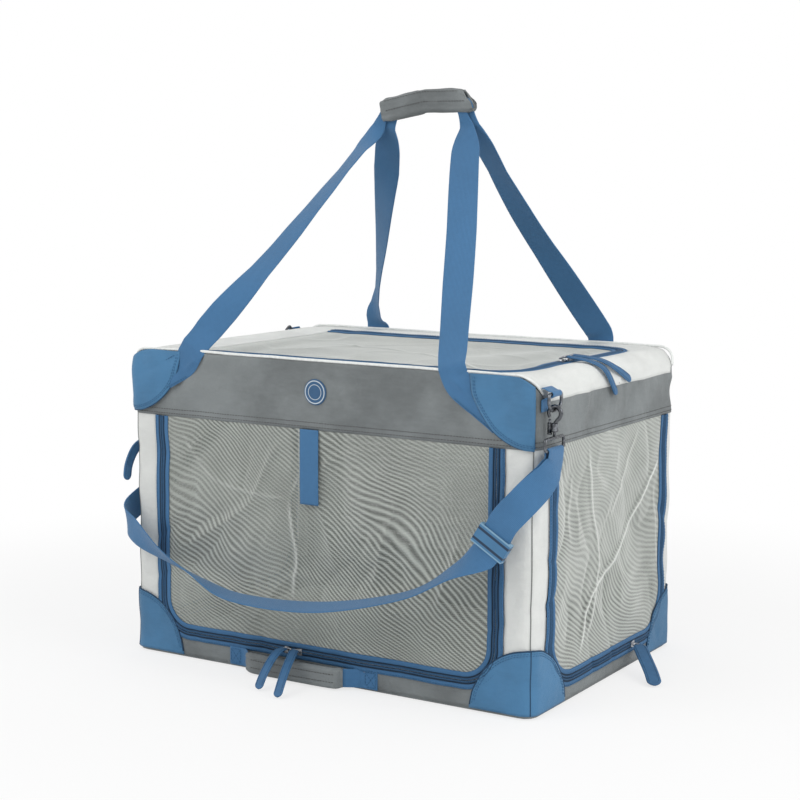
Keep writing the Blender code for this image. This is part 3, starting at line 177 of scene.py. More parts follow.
def ripple(points, seed, pitch, waves=7):
    """A smooth seeded field from -1 to 1 that changes over about pitch metres."""
    draw = np.random.default_rng(seed)
    total = np.zeros(points.shape[:-1])
    for _ in range(waves):
        direction = draw.normal(size=3)
        direction *= 2 * pi / pitch * draw.uniform(0.6, 1.5) / norm(direction)
        bend = draw.normal(size=3) * 1.7 / pitch
        phase = points @ direction + draw.uniform(0, 2 * pi) + 1.6 * np.sin(points @ bend + draw.uniform(0, 6))
        total += np.sin(phase)
    return total / waves ** 0.5 / 1.5


def folds(points, seed, pitch):
    """Sharper creases than ripple gives: ridges where a wave passes through nought."""
    return (1 - np.clip(np.abs(ripple(points, seed, pitch, 4)) * 2.2, 0, 1)) ** 2


def skin_normal(points):
    """The outward direction of the carrier's rounded box at points on or near it."""
    reach = np.array((SKIN_X, SKIN_Y, SKIN_TOP)) - EDGE_RADIUS
    away = points - np.clip(points, (-reach[0], -reach[1], -1), reach)
    return unit(away)


# What is stiff and keeps the cloth round it flat, and how far
HARD_SPOTS = [("slider_front_left", 0.045), ("slider_front_right", 0.045), ("slider_right", 0.045),
              ("slider_left", 0.045), ("slider_top_front", 0.06), ("slider_top_back", 0.06), ("badge", 0.04),
              ("d_ring_loop_front", 0.045), ("d_ring_loop_rear", 0.045)]
# How far each corner of the top has sunk, after its sides in x and y, and how far the top sags
SUNK_CORNERS = ((-1, -1, 0.0065), (1, -1, 0.0020), (-1, 1, 0.0040), (1, 1, 0.0065))
TOP_SAG = 0.0035
# Where a handle's ends are sewn, in x
HANDLE_FOOT_X = 0.200


def drawn_in(points):
    """Folds that spread from the handles' feet, and wider ones on the short sides of the head band."""
    total = np.zeros(points.shape[:-1])
    for hand in (-1, 1):
        x, z = points[..., 0] - hand * HANDLE_FOOT_X, points[..., 2] - 0.388
        reach, turn = np.hypot(x, z), np.arctan2(z, x)
        total += np.sin(5 * turn + 1.3 * hand) * smoothstep(0.01, 0.035, reach) * np.exp(-(reach / 0.065) ** 2)
    side = smoothstep(SKIN_X - 0.012, SKIN_X - 0.002, np.abs(points[..., 0]))
    band = smoothstep(HEAD_FOOT, HEAD_FOOT + 0.03, points[..., 2])
    slanted = points * np.array((1, 1, 0.45))
    return total + 1.5 * side * band * (folds(slanted, 15, 0.11) - 0.4 + 0.5 * ripple(slanted, 16, 0.07))


def settle(points, lift=0.0):
    """Lay points of the flat cloth on the slack skin that all layers share, raised by lift."""
    points = np.asarray(points, float)
    amount = 0.55 * ripple(points, 3, 0.16) + 0.42 * ripple(points, 8, 0.060) - 0.75 * folds(points, 5, 0.12)
    amount = amount + drawn_in(points)
    hem = smoothstep(0.0, 0.03, points[..., 2])
    for band_edge in (BASE_BAND, HEAD_FOOT):
        hem = hem * (0.45 + 0.55 * smoothstep(0.0, 0.025, np.abs(points[..., 2] - band_edge)))
    for name, reach in HARD_SPOTS:
        low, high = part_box(name)
        centre = np.array((low + high) / 2)
        hem = hem * smoothstep(0.35 * reach, reach, norm(points - centre))
    flat_top = smoothstep(SKIN_TOP - 0.004, SKIN_TOP - 0.001, points[..., 2])
    x, y = SKIN_X - np.abs(points[..., 0]), SKIN_Y - np.abs(points[..., 1])
    inside = smoothstep(0, 0.11, y) * smoothstep(0, 0.12, x)
    amount = amount * (0.15 + 0.85 * (1 - flat_top)) * settings().cloth.slack - TOP_SAG * flat_top * inside * hem
    away = skin_normal(points)
    sunk = np.zeros(points.shape[:-1])
    for x, y, drop in SUNK_CORNERS:
        corner = np.array((x * SKIN_X, y * SKIN_Y, SKIN_TOP))
        sunk += drop * np.exp(-(norm(points - corner) / 0.024) ** 2)
    return points + away * (amount * hem + lift)[..., None] - sunk[..., None] * np.array((0, 0, 1.0))


def lay(name, points, uv, ring=False, keep=None):
    """A mesh from rows of points, with its UV in metres. A ring closes on itself, and its UV has one column more."""
    rows, cols = points.shape[:2]
    index = np.arange(rows * cols).reshape(rows, cols)
    spread = np.arange(rows * uv.shape[1]).reshape(rows, -1)
    faces = quads(wrapped(index) if ring else index).reshape(-1, 4)
    marks = quads(spread).reshape(-1, 4)
    if keep is not None:
        faces, marks = faces[keep.reshape(-1)], marks[keep.reshape(-1)]
    used, faces = np.unique(faces, return_inverse=True)
    return mesh_of(name, points.reshape(-1, 3)[used], faces.reshape(-1, 4), uv.reshape(-1, 2)[marks.reshape(-1)])


def mesh_of(name, points, faces, corner_uv=None):
    data = bpy.data.meshes.new(name)
    data.from_pydata([tuple(p) for p in points], [], [tuple(f) for f in faces])
    if corner_uv is not None:
        layer = data.uv_layers.new(name="Cloth")
        layer.data.foreach_set("uv", np.asarray(corner_uv, np.float32).ravel())
    data.shade_smooth()
    obj = bpy.data.objects.new(name, data)
    bpy.context.scene.collection.objects.link(obj)
    return obj


def dress(obj, body, look, *nodes, slot=None):
    """Give a finished piece its finish, its body unless it is blended, and hide its nodes; slot is not used."""
    obj.data.materials.clear()
    obj.data.materials.append(finish(look))
    if body:
        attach(obj, body)
    if nodes:
        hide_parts(*nodes)
    return obj


def thicken(obj, thickness, outward=False):
    """Give a cloth its thickness, inwards from its face unless it is to grow outwards."""
    modifier = obj.modifiers.new("Cloth thickness", "SOLIDIFY")
    modifier.thickness = thickness
    modifier.offset = 1 if outward else -1
    modifier.use_even_offset = True
    return obj


def join(name, objects):
    """Several meshes made into one piece."""
    bpy.ops.object.select_all(action="DESELECT")
    for obj in objects:
        obj.select_set(True)
    bpy.context.view_layer.objects.active = objects[0]
    bpy.ops.object.join()
    objects[0].name = name
    objects[0].data.name = name
    bpy.ops.object.select_all(action="DESELECT")
    return objects[0]


def plan_loop(inset=0.0, step=SOFT_STEP, z=0.0):
    """Points round the carrier's outline, anticlockwise from the middle of the back, with the length to each."""
    half_x, half_y, r = SKIN_X - inset, SKIN_Y - inset, EDGE_RADIUS - inset
    corners = ((-half_x + r, half_y - r, pi / 2), (-half_x + r, -half_y + r, pi), (half_x - r, -half_y + r, 1.5 * pi),
               (half_x - r, half_y - r, 2 * pi))
    line = [(0.0, half_y)]
    for x, y, start in corners:
        target = (x + r * cos(start), y + r * sin(start))
        far = np.hypot(target[0] - line[-1][0], target[1] - line[-1][1])
        count = max(1, round(far / step))
        here = line[-1]
        line += [(here[0] + (target[0] - here[0]) * k / count, here[1] + (target[1] - here[1]) * k / count)
                 for k in range(1, count + 1)]
        line += [(x + r * cos(start + pi / 2 * k / 8), y + r * sin(start + pi / 2 * k / 8)) for k in range(1, 9)]
    here = line[-1]
    count = round(here[0] / step)
    line += [(here[0] * (1 - k / count), half_y) for k in range(1, count)]
    flat = np.array([(x, y, z) for x, y in line])
    lengths = np.concatenate([[0], np.cumsum(norm(np.diff(flat, axis=0, append=flat[:1])))])
    return flat, lengths


def round_box(flat, middle, half, radius):
    """Signed distance to a rectangle with round corners. Its half sides are given without the radius."""
    q = np.abs(flat - middle) - half
    return norm(np.maximum(q, 0)) + np.minimum(q.max(axis=-1), 0) - radius


def opening(flat, key, grow):
    """Signed distance from points in a face's u and v to the edge of its door's opening, below 0 inside."""
    low, high, foot, head, radius = DOORS[key]
    low, high, foot, r = low - grow, high + grow, foot - grow, radius + grow
    # An upright door's opening runs on past its head, and the round corners up there lie out of reach
    top, past = head + (GAP if key == "top" else 0.3), 0.2
    middle = np.array(((low + high) / 2, (foot + top + past) / 2))
    half = np.array(((high - low) / 2, (top + past - foot) / 2)) - r
    return np.maximum(round_box(flat, middle, half, r), flat[..., 1] - top)


def flat_of(points, key):
    """A face's own u, v and w of points."""
    place = FACES[key]
    return (points - place[:, 3]) @ place[:, :3]


def near_face(points, key):
    """Which points lie on a face or close behind it."""
    return flat_of(points, key)[..., 2] > -0.002


def placed(flat, key):
    """Points of a face's own u, v and w, or of its u and v alone, in the frame."""
    place = FACES[key]
    flat = np.asarray(flat, float)
    return flat @ place[:, :flat.shape[-1]].T + place[:, 3]


def cut_out(points, distance, keep, near, step=SOFT_STEP):
    """Draw the nearest points of a grid onto the line where distance is 0, and drop the faces within it."""
    tiny = 1e-5
    for _ in range(2):
        d = distance(points)
        slope = np.zeros_like(points)
        for axis in range(3):
            nudge = np.zeros(3)
            nudge[axis] = tiny
            slope[..., axis] = (distance(points + nudge) - d) / tiny
        pull = near & (np.abs(d) < 0.62 * step)
        points = np.where(pull[..., None], points - slope * d[..., None], points)
    d = np.where(near, distance(points), 1.0)
    d = np.where(np.abs(d) < tiny, 0, d)
    if d.shape[1] != keep.shape[1] + 1:
        d = wrapped(d)
    return points, keep & (quads(d).sum(axis=-1) > 0)


def cut_doors(points, keep, keys=("front", "right", "left")):
    """Leave out the doors' openings, with the zips' tapes, from a grid of cloth."""
    for key in keys:
        points, keep = cut_out(points, lambda p, k=key: opening(flat_of(p, k)[..., :2], k, TAPE + GAP), keep,
                               near_face(points, key))
    return points, keep


def wall_grid(low, high, rows=None):
    """The upright skin between two heights: points, UV, and which faces stay."""
    loop, lengths = plan_loop()
    rows = rows or max(2, round((high - low) / SOFT_STEP) + 1)
    heights = np.linspace(low, high, rows)
    points = np.repeat(loop[None], rows, axis=0)
    points[..., 2] = heights[:, None]
    return points, grid_of(lengths[None], heights[:, None]), np.ones((rows - 1, len(loop)), bool)


def door_line(key, offset, step=0.003):
    """The line of a zip in its face's u and v, set outwards by offset, as many points for every offset."""
    low, high, foot, head, radius = DOORS[key]
    r = radius + offset
    side = max(2, round((head - foot - radius) / step))
    base = max(2, round((high - low - 2 * radius) / step))
    low, high, foot, head = low - offset, high + offset, foot - offset, head - GAP
    line = [(low, head + (foot + r - head) * k / side) for k in range(side)]
    line += [(low + r - r * cos(a), foot + r - r * sin(a)) for a in np.linspace(0, pi / 2, 17)[:-1]]
    line += [(low + r + (high - low - 2 * r) * k / base, foot) for k in range(base)]
    line += [(high - r + r * sin(a), foot + r - r * cos(a)) for a in np.linspace(0, pi / 2, 17)]
    line += [(high, foot + r + (head - foot - r) * k / side) for k in range(1, side + 1)]
    return np.array(line)


# Cords, ribbons and stitches

def lengths_of(path):
    return np.concatenate([[0], np.cumsum(norm(np.diff(path, axis=0)))])


def values_at(marks, run, values):
    """Rows of values that lie at lengths run along a path, read off at other lengths."""
    return np.stack([np.interp(marks, run, column) for column in np.asarray(values, float).T], axis=-1)


def unit(v):
    return v / np.maximum(norm(v, True), 1e-12)


def cord(name, path, radius, sides=10, closed=False):
    """A round cord along a path, with UV round it and along it."""
    path = np.asarray(path, float)
    if closed:
        path = np.vstack([path, path[:1]])
    along = unit(np.gradient(path, axis=0))
    if closed:
        along[0] = along[-1] = unit(path[1] - path[-2])
    side = np.zeros_like(along)
    guess = np.array((0.0, 0.0, 1.0)) if abs(along[0][2]) < 0.8 else np.array((0.0, 1.0, 0.0))
    for i, t in enumerate(along):
        guess = unit(guess - t * (guess @ t))
        side[i] = guess
    if closed:
        twist = atan2(np.cross(side[-1], side[0]) @ along[0], side[-1] @ side[0])
        for i in range(len(side)):
            a = twist * i / (len(side) - 1)
            side[i] = side[i] * cos(a) + np.cross(along[i], side[i]) * sin(a)
    other = np.cross(along, side)
    turns = np.linspace(0, 2 * pi, sides, endpoint=False)
    radius = np.broadcast_to(np.asarray(radius, float), (len(path),))[:, None, None]
    rings = path[:, None] + radius * (side[:, None] * np.cos(turns)[None, :, None]
                                      + other[:, None] * np.sin(turns)[None, :, None])
    run = lengths_of(path)
    around = np.linspace(0, 2 * pi * float(radius.max()), sides + 1)
    obj = lay(name, rings, grid_of(around[None], run[:, None]), ring=True)
    if closed:
        merge_doubles(obj)
    else:
        cap_ends(obj)
    return obj


def merge_doubles(obj, within=1e-6):
    mesh = bmesh.new()
    mesh.from_mesh(obj.data)
    bmesh.ops.remove_doubles(mesh, verts=mesh.verts, dist=within)
    mesh.to_mesh(obj.data)
    mesh.free()


def cap_ends(obj):
    mesh = bmesh.new()
    mesh.from_mesh(obj.data)
    bmesh.ops.holes_fill(mesh, edges=[e for e in mesh.edges if e.is_boundary], sides=0)
    bmesh.ops.recalc_face_normals(mesh, faces=mesh.faces)
    mesh.to_mesh(obj.data)
    mesh.free()


def strip_section(width, thick, cells=8):
    """A flat section with round edges: offsets across and through."""
    r = thick / 2
    half = width / 2 - r
    turns = np.linspace(-pi / 2, pi / 2, 5)
    section = [(x, -r) for x in np.linspace(-half, half, cells + 1)[:-1]]
    section += [(half + r * cos(a), r * sin(a)) for a in turns]
    section += [(x, r) for x in np.linspace(half, -half, cells + 1)[1:-1]]
    section += [(-half - r * cos(a), -r * sin(a)) for a in turns[:-1]]
    return np.array(section)


def ribbon(name, path, sides, section, widths=None, cup=0.0, thicks=None):
    """A section carried along a path. sides is the direction of its width, one or one a point; cup is its bow."""
    path = np.asarray(path, float)
    sides = np.broadcast_to(np.asarray(sides, float), path.shape)
    along = unit(np.gradient(path, axis=0))
    normal = unit(np.cross(along, sides))
    side = np.cross(normal, along)
    a, b = section[:, 0][None, :, None], section[:, 1][None, :, None]
    if widths is not None:
        a = a * np.asarray(widths)[:, None, None]
    if thicks is not None:
        b = b * np.asarray(thicks)[:, None, None]
    half = np.abs(section[:, 0]).max()
    b = b - np.reshape(cup, (-1, 1, 1)) * (section[:, 0][None, :, None] / half) ** 2
    rings = path[:, None] + side[:, None] * a + normal[:, None] * b
    across = np.append(section[:, 0], section[0, 0])
    obj = lay(name, rings, grid_of(across[None], lengths_of(path)[:, None]), ring=True)
    cap_ends(obj)
    return obj


# A stitch in its own length, width and rise: a flat foot and a narrower head
STITCH = np.array([(-0.5, -0.5, 0), (0.5, -0.5, 0), (0.5, 0.5, 0), (-0.5, 0.5, 0),
                   (-0.28, -0.3, 1), (0.28, -0.3, 1), (0.28, 0.3, 1), (-0.28, 0.3, 1)])
STITCH_FACES = np.array([(0, 1, 5, 4), (1, 2, 6, 5), (2, 3, 7, 6), (3, 0, 4, 7), (4, 5, 6, 7), (3, 2, 1, 0)])


def stitches(name, lines, length=0.0030, pitch=0.0042, width=0.0008, rise=0.00045):
    """Rows of thread. Each line is (points, outward directions)."""
    points, faces = [], []
    for path, outward in lines:
        path = np.asarray(path, float)
        outward = np.broadcast_to(np.asarray(outward, float), path.shape)
        run = lengths_of(path)
        for start in np.arange(pitch / 2, run[-1] - length, pitch):
            a, b = values_at(start, run, path), values_at(start + length, run, path)
            up = unit(values_at(start, run, outward))
            along = b - a
            side = unit(np.cross(up, along)) * width
            shape = STITCH[:, :1] * along + STITCH[:, 1:2] * side + STITCH[:, 2:] * up * rise
            faces.append(STITCH_FACES + 8 * len(points))
            points.append((a + b) / 2 + shape)
    return mesh_of(name, np.vstack(points), np.vstack(faces))


def rounded(corners, radii, steps=10, closed=False):
    """A line through corners, each turned on an arc of its radius."""
    corners = [np.asarray(c, float) for c in corners]
    line = []
    for i, corner in enumerate(corners):
        if not closed and i in (0, len(corners) - 1) or radii[i] == 0:
            line.append(corner)
            continue
        back, on = unit(corners[i - 1] - corner), unit(corners[(i + 1) % len(corners)] - corner)
        half = np.arccos(np.clip(back @ on, -1, 1)) / 2
        reach = radii[i] / np.tan(half)
        middle = corner + unit(back + on) * radii[i] / np.sin(half)
        start, end = corner + back * reach - middle, corner + on * reach - middle
        turn = pi - 2 * half
        for k in range(steps + 1):
            t = k / steps
            line.append(middle + (start * sin((1 - t) * turn) + end * sin(t * turn)) / sin(turn))
    return np.array(line)


def smooth(knots, steps):
    """A smooth curve through knots, with steps points for each stretch."""
    knots = np.asarray(knots, float)
    line = []
    for i in range(len(knots) - 1):
        a, b, c, d = (knots[np.clip(i + k, 0, len(knots) - 1)] for k in (-1, 0, 1, 2))
        for k in range(steps):
            t = k / steps
            bend, twist = 2 * a - 5 * b + 4 * c - d, 3 * b - a - 3 * c + d
            line.append(0.5 * (2 * b + (c - a) * t + bend * t * t + twist * t ** 3))
    return np.array(line + [knots[-1]])


def evenly(path, step, *along_with):
    """A path with a point every step, and other values carried along it."""
    path = np.asarray(path, float)
    run = lengths_of(path)
    marks = np.linspace(0, run[-1], max(2, round(run[-1] / step) + 1))
    found = [values_at(marks, run, rows) for rows in (path, *along_with)]
    return found if along_with else found[0]


def evenly_closed(loop, count):
    """A closed line as so many points at even steps."""
    ring = np.vstack([loop, loop[:1]])
    run = lengths_of(ring)
    return values_at(np.linspace(0, run[-1], count, endpoint=False), run, ring)


def hoop(name, corners, radii, count, place, radius, sides):
    """A cord closed through round corners. place turns its points into points of the frame."""
    line = evenly_closed(rounded(corners, radii, closed=True), count)
    return cord(name, place(line), radius, sides, closed=True)


def boxed_cross(low, high, foot, head, y):
    """The runs of thread of a sewn box with its two diagonals, upright at y."""
    box = [(low, y, foot), (high, y, foot), (high, y, head), (low, y, head)]
    return [evenly(np.array(run), 0.002) for run in (box + box[:1], box[::2], box[1::2])]


# Shader maths

class Signal:
    """A shader socket that takes part in expressions. Each operation adds its Math node."""

    def __init__(self, finish, socket):
        self.finish, self.socket = finish, socket

    def math(self, operation, *others):
        node = self.finish.tree.nodes.new("ShaderNodeMath")
        node.operation = operation
        for slot_, value in zip(node.inputs, (self, *others)):
            self.finish.feed(slot_, value)
        return Signal(self.finish, node.outputs[0])

    def __add__(self, other):
        return self.math("ADD", other)

    __radd__ = __add__

    def __mul__(self, other):
        return self.math("MULTIPLY", other)

    __rmul__ = __mul__

    def __sub__(self, other):
        return self.math("SUBTRACT", other)

    def __rsub__(self, other):
        return (self * -1) + other

    def __abs__(self):
        return self.math("ABSOLUTE")

    def __gt__(self, other):
        return self.math("GREATER_THAN", other)

    def __pow__(self, other):
        return self.math("POWER", other)

    def sine(self):
        return self.math("SINE")

    def between(self, low, high):
        """0 below low and 1 above high, smooth between them."""
        node = self.finish.node("ShaderNodeMapRange", {"interpolation_type": "SMOOTHSTEP"},
                                {"Value": self, "From Min": low, "From Max": high})
        return Signal(self.finish, node.outputs[0])


class Nodes:
    """The shader nodes of a material or of the world."""

    def __init__(self, tree):
        self.tree = tree

    def feed(self, socket, value):
        if isinstance(value, Signal):
            self.tree.links.new(value.socket, socket)
        elif isinstance(value, bpy.types.NodeSocket):
            self.tree.links.new(value, socket)
        elif hasattr(value, "__len__") and len(value) == 3 and socket.type == "RGBA":
            socket.default_value = (*value, 1)
        else:
            socket.default_value = value

    def node(self, kind, set_first=None, sockets=None):
        node = self.tree.nodes.new(kind)
        for key, value in (set_first or {}).items():
            setattr(node, key, value)
        for key, value in (sockets or {}).items():
            self.feed(node.inputs[key], value)
        return node


class Finish(Nodes):
    """A procedural material on the Principled shader."""

    def __init__(self, name, roughness=0.8, **numbers):
        self.material = bpy.data.materials.new(name)
        self.material.use_nodes = True
        super().__init__(self.material.node_tree)
        self.shader = self.tree.nodes["Principled BSDF"]
        self.shader.inputs["Roughness"].default_value = roughness
        for key, value in numbers.items():
            self.shader.inputs[key.replace("_", " ").title().replace("Ior", "IOR")].default_value = value

    def uv(self):
        """The cloth's own directions in metres: across or along it, and up it."""
        spot = self.node("ShaderNodeTexCoord").outputs["UV"]
        parts = self.node("ShaderNodeSeparateXYZ", sockets={0: spot})
        return Signal(self, parts.outputs[0]), Signal(self, parts.outputs[1])

    def place(self):
        """The place in the frame in metres, as three values."""
        spot = self.node("ShaderNodeTexCoord").outputs["Object"]
        parts = self.node("ShaderNodeSeparateXYZ", sockets={0: spot})
        return [Signal(self, socket) for socket in parts.outputs]

    def noise(self, scale, detail=2.0, rough=0.5, stretch=None):
        spot = self.node("ShaderNodeTexCoord").outputs["Object"]
        if stretch:
            spot = self.node("ShaderNodeVectorMath", {"operation": "MULTIPLY"}, {0: spot, 1: stretch}).outputs[0]
        node = self.node("ShaderNodeTexNoise", {"noise_dimensions": "3D"},
                         {"Vector": spot, "Scale": scale, "Detail": detail, "Roughness": rough})
        return Signal(self, node.outputs[0])

    def mix(self, factor, a, b):
        node = self.node("ShaderNodeMix", {"data_type": "RGBA"})
        for socket, value in ((node.inputs[0], factor), (node.inputs[6], a), (node.inputs[7], b)):
            self.feed(socket, value)
        return node.outputs[2]

    def shade(self, factor, colour, dark, light):
        """The colour, from dark times itself to light times itself, as factor goes from 0 to 1."""
        return self.mix(factor, [c * dark for c in colour], [min(1, c * light) for c in colour])

    def weave(self, threads):
        """A plain weave's height, from 0 to 1, of so many threads per metre."""
        u, v = self.uv()
        warp, weft = (u * (pi * threads)).sine(), (v * (pi * threads)).sine()
        over = (warp * weft) > 0
        return abs(warp) * over + abs(weft) * (1 - over)

    def colour(self, value):
        self.feed(self.shader.inputs["Base Color"], value)
        return self

    def rough(self, value):
        self.feed(self.shader.inputs["Roughness"], value)
        return self

    def bump(self, height, depth, strength=1.0):
        node = self.node("ShaderNodeBump", sockets={"Height": height, "Distance": depth, "Strength": strength})
        self.feed(self.shader.inputs["Normal"], node.outputs[0])
        return self


FINISHES = {}


def finish(name):
    """A material by name, made the first time it is asked for."""
    if name not in FINISHES:
        made = MAKERS[name]() if name in MAKERS else thread_of(name, THREADS[name])
        FINISHES[name] = made.material
    return FINISHES[name]


def woven(name, colour, threads, rough, dark=0.80, light=1.14, crumple=0.0030):
    """Coated woven polyester, with slubs in its threads, soft wrinkles and fine crumples."""
    made = Finish(name, rough, sheen_weight=0.12, sheen_roughness=0.5, specular_ior_level=0.35)
    weave = made.weave(threads)
    slub = made.noise(70, 3, 0.6, (1, 1, 3.2))
    cloud = made.noise(9, 3, 0.55)
    wrinkle = 1 - abs(made.noise(13, 2, 0.5, (1, 1, 0.7)) - 0.5) * 5
    creased = abs(made.noise(34, 3, 0.6) - 0.5)
    tone = weave * 0.24 + slub * 0.28 + cloud.between(0.3, 0.7) * 0.48
    made.colour(made.shade(tone.between(0.15, 0.85), colour, dark, light))
    made.rough((weave * 0.10) + (rough - 0.05))
    return made.bump(weave * 0.03 + wrinkle.between(0.0, 1.0) * 0.55 + creased * 0.9, crumple, 0.9)


def charcoal_cloth():
    return woven("charcoal cloth", settings().cloth.band_colour, 1150, 0.78, 0.76, 1.26, 0.0052)


def pale_cloth():
    return woven("pale cloth", settings().cloth.pale_colour, 1150, 0.80, 0.91, 1.07, 0.0042)


def guard_cloth():
    return woven("blue guard cloth", settings().cloth.guard_colour, 1000, 0.66, 0.84, 1.18, 0.0020)


def net_cloth():
    """Knitted net: round holes between threads, with bands of closer knitting that swirl where the net is slack."""
    made = Finish("door net", 0.75, specular_ior_level=0.3)
    u, v = made.uv()
    pitch, band = 0.0021, 0.0056
    a = ((u + v * 0.577) * (2 * pi / pitch)).sine()
    b = ((u - v * 0.577) * (2 * pi / pitch)).sine()
    c = (v * (2 * pi * 1.155 / pitch)).sine()
    holes = (a * b + b * c * 0.35).between(0.05, 0.42)
    swirl = made.noise(6.5, 0.0, 0.4) * 105 + made.noise(19, 1.0, 0.4) * 14
    row = ((u * (0.55 * 2 * pi / band) + v * (0.83 * 2 * pi / band) + swirl).sine() + 1) * 0.5
    facing = Signal(made, made.node("ShaderNodeLayerWeight", sockets={"Blend": 0.5}).outputs["Facing"])
    crease = Signal(made, made.node("ShaderNodeAttribute", {"attribute_name": "crease"}).outputs["Fac"])
    cloud = made.noise(14, 2, 0.5)
    patch = made.noise(5.0, 1.0, 0.5).between(0.36, 0.62)
    tone = (row - 0.5) * (0.42 + patch * 0.55) + 0.5 + (cloud - 0.5) * 0.45
    rows = made.shade(tone, settings().cloth.net_colour, 0.52, 1.50)
    # At grazing angles more threads overlap and fewer holes show; the net is also painted paler there, a painted sheen,
    # and paler along its creases, where it lies double
    made.colour(made.mix(crease * 0.85 + facing * facing * 0.95, rows, (0.80, 0.82, 0.79)))
    gap = holes * (0.94 - row * 0.60) * (1 - facing * 0.8) * (1 - crease)
    made.feed(made.shader.inputs["Alpha"], 1 - gap)
    return made.bump(row * 0.6 - holes * 0.4, 0.0009, 0.9)


def blue_webbing():
    """Webbing with fine ribs along it, crossed by its weft."""
    made = Finish("blue webbing", 0.72, sheen_weight=0.2, sheen_roughness=0.4, specular_ior_level=0.35)
    u, v = made.uv()
    rib = abs((u * (pi / 0.0016)).sine())
    weft = abs(((v + rib * 0.0004) * (pi / 0.0011)).sine())
    fuzz = made.noise(160, 3, 0.6)
    cloud = made.noise(11, 2, 0.5)
    tone = rib * 0.3 + weft * 0.2 + fuzz * 0.2 + cloud * 0.3
    made.colour(made.shade(tone.between(0.2, 0.85), settings().webbing.colour, 0.78, 1.22))
    return made.bump(rib * 0.6 + weft * 0.4, 0.0004, 0.8)


def zip_tape():
    """Zip tape and coil: u runs from the seam outwards, v along the zip."""
    made = Finish("blue zip", 0.6, specular_ior_level=0.4)
    u, v = made.uv()
    off = abs(u)
    coil = 1 - off.between(0.0026, 0.0031)
    # Painted shade: the groove beside the coil is painted dark
    groove = off.between(0.0026, 0.0031) * (1 - off.between(0.0046, 0.0051))
    tooth = abs((v * (pi / 0.0016)).sine())
    twill = abs(((v + u) * (pi / 0.0009)).sine())
    colour = settings().webbing.tape_colour
    base = made.shade(twill * 0.6 + made.noise(30) * 0.4, colour, 0.85, 1.45)
    # Painted shade: the gaps between the coil's teeth are painted darker than the teeth
    toothed = made.mix(coil, base, made.shade(tooth, colour, 0.30, 1.05))
    made.colour(made.mix(groove, toothed, [c * 0.22 for c in colour]))
    return made.bump(coil * tooth * 0.8 + (1 - coil) * twill * 0.2, 0.0007, 0.9)


def thread_of(name, colour):
    made = Finish(name, 0.7, specular_ior_level=0.3)
    return made.colour(made.shade(made.noise(300), colour, 0.8, 1.15))


def nickel():
    """Plated zinc with faint scratches and duller spots."""
    made = Finish("nickel plate", 0.3, metallic=1.0)
    scratch = made.noise(240, 4, 0.7, (1, 1, 6))
    patina = made.noise(45, 3, 0.6)
    made.colour(made.shade(patina.between(0.3, 0.7), (0.46, 0.47, 0.49), 0.75, 1.2))
    made.rough(patina * 0.16 + scratch * 0.10 + 0.16)
    return made.bump(scratch, 0.0002, 0.4)


def dark_nickel():
    """Black nickel of the hooks and rings, worn at random to a lighter grey."""
    made = Finish("dark nickel", 0.3, metallic=1.0)
    worn = made.noise(160, 3, 0.6)
    made.colour(made.shade(worn.between(0.45, 0.75), (0.17, 0.18, 0.195), 0.7, 1.9))
    made.rough(worn * 0.2 + 0.18)
    return made.bump(made.noise(240, 4, 0.7, (1, 1, 6)), 0.0002, 0.4)


def frame_steel():
    """Powder coat with orange peel, on the folding tubes."""
    made = Finish("powder-coated tube", 0.45)
    peel = made.noise(420, 2, 0.5)
    rub = made.noise(26, 3, 0.6)
    made.colour(made.shade(rub.between(0.35, 0.7), (0.10, 0.105, 0.11), 0.8, 1.3))
    made.rough(rub * 0.18 + 0.34)
    return made.bump(peel, 0.0003, 0.5)


def fleece():
    """Sheared fleece: close tufts over a soft cloud of tone."""
    made = Finish("pale fleece", 0.95, sheen_weight=0.5, sheen_roughness=0.6, specular_ior_level=0.2)
    tufts = made.noise(520, 4, 0.7)
    cloud = made.noise(16, 3, 0.6)
    made.colour(made.shade((tufts * 0.5 + cloud * 0.5).between(0.3, 0.7), (0.70, 0.70, 0.66), 0.84, 1.1))
    return made.bump(tufts, 0.0016, 0.9)


def board():
    made = Finish("hollow board", 0.6)
    flute = abs((made.place()[0] * (pi / 0.004)).sine())
    made.colour(made.shade(flute * 0.5 + made.noise(40) * 0.5, (0.09, 0.09, 0.095), 0.8, 1.3))
    return made.bump(flute, 0.0004, 0.5)


def moulded_blue():
    """The adjuster's plastic, with painted highlights on its bars' rims and painted shade in its two slots."""
    made = Finish("moulded blue plastic", 0.38, specular_ior_level=0.45)
    grain = made.noise(600, 2, 0.5)
    middle = STRAP_KNOTS[HELD][0]
    ahead = unit(np.subtract(STRAP_KNOTS[HELD + 1][0], STRAP_KNOTS[HELD - 1][0]))
    x, y, z = ((value - start) * float(part) for value, start, part in zip(made.place(), middle, ahead))
    run = abs(x + y + z)
    # The two slots are painted dark, a painted shade, and the bars' rims pale, a painted highlight
    slot = run.between(0.0050, 0.0058) * (1 - run.between(0.0082, 0.0090))
    rim_highlight = run.between(0.0108, 0.0118)
    plain = made.mix(rim_highlight, made.shade(made.noise(60, 3), (0.055, 0.175, 0.33), 0.85, 1.15), (0.20, 0.36, 0.50))
    made.colour(made.mix(slot, plain, (0.012, 0.035, 0.075)))
    made.rough(grain * 0.15 + 0.32)
    return made.bump(grain, 0.00025, 0.5)


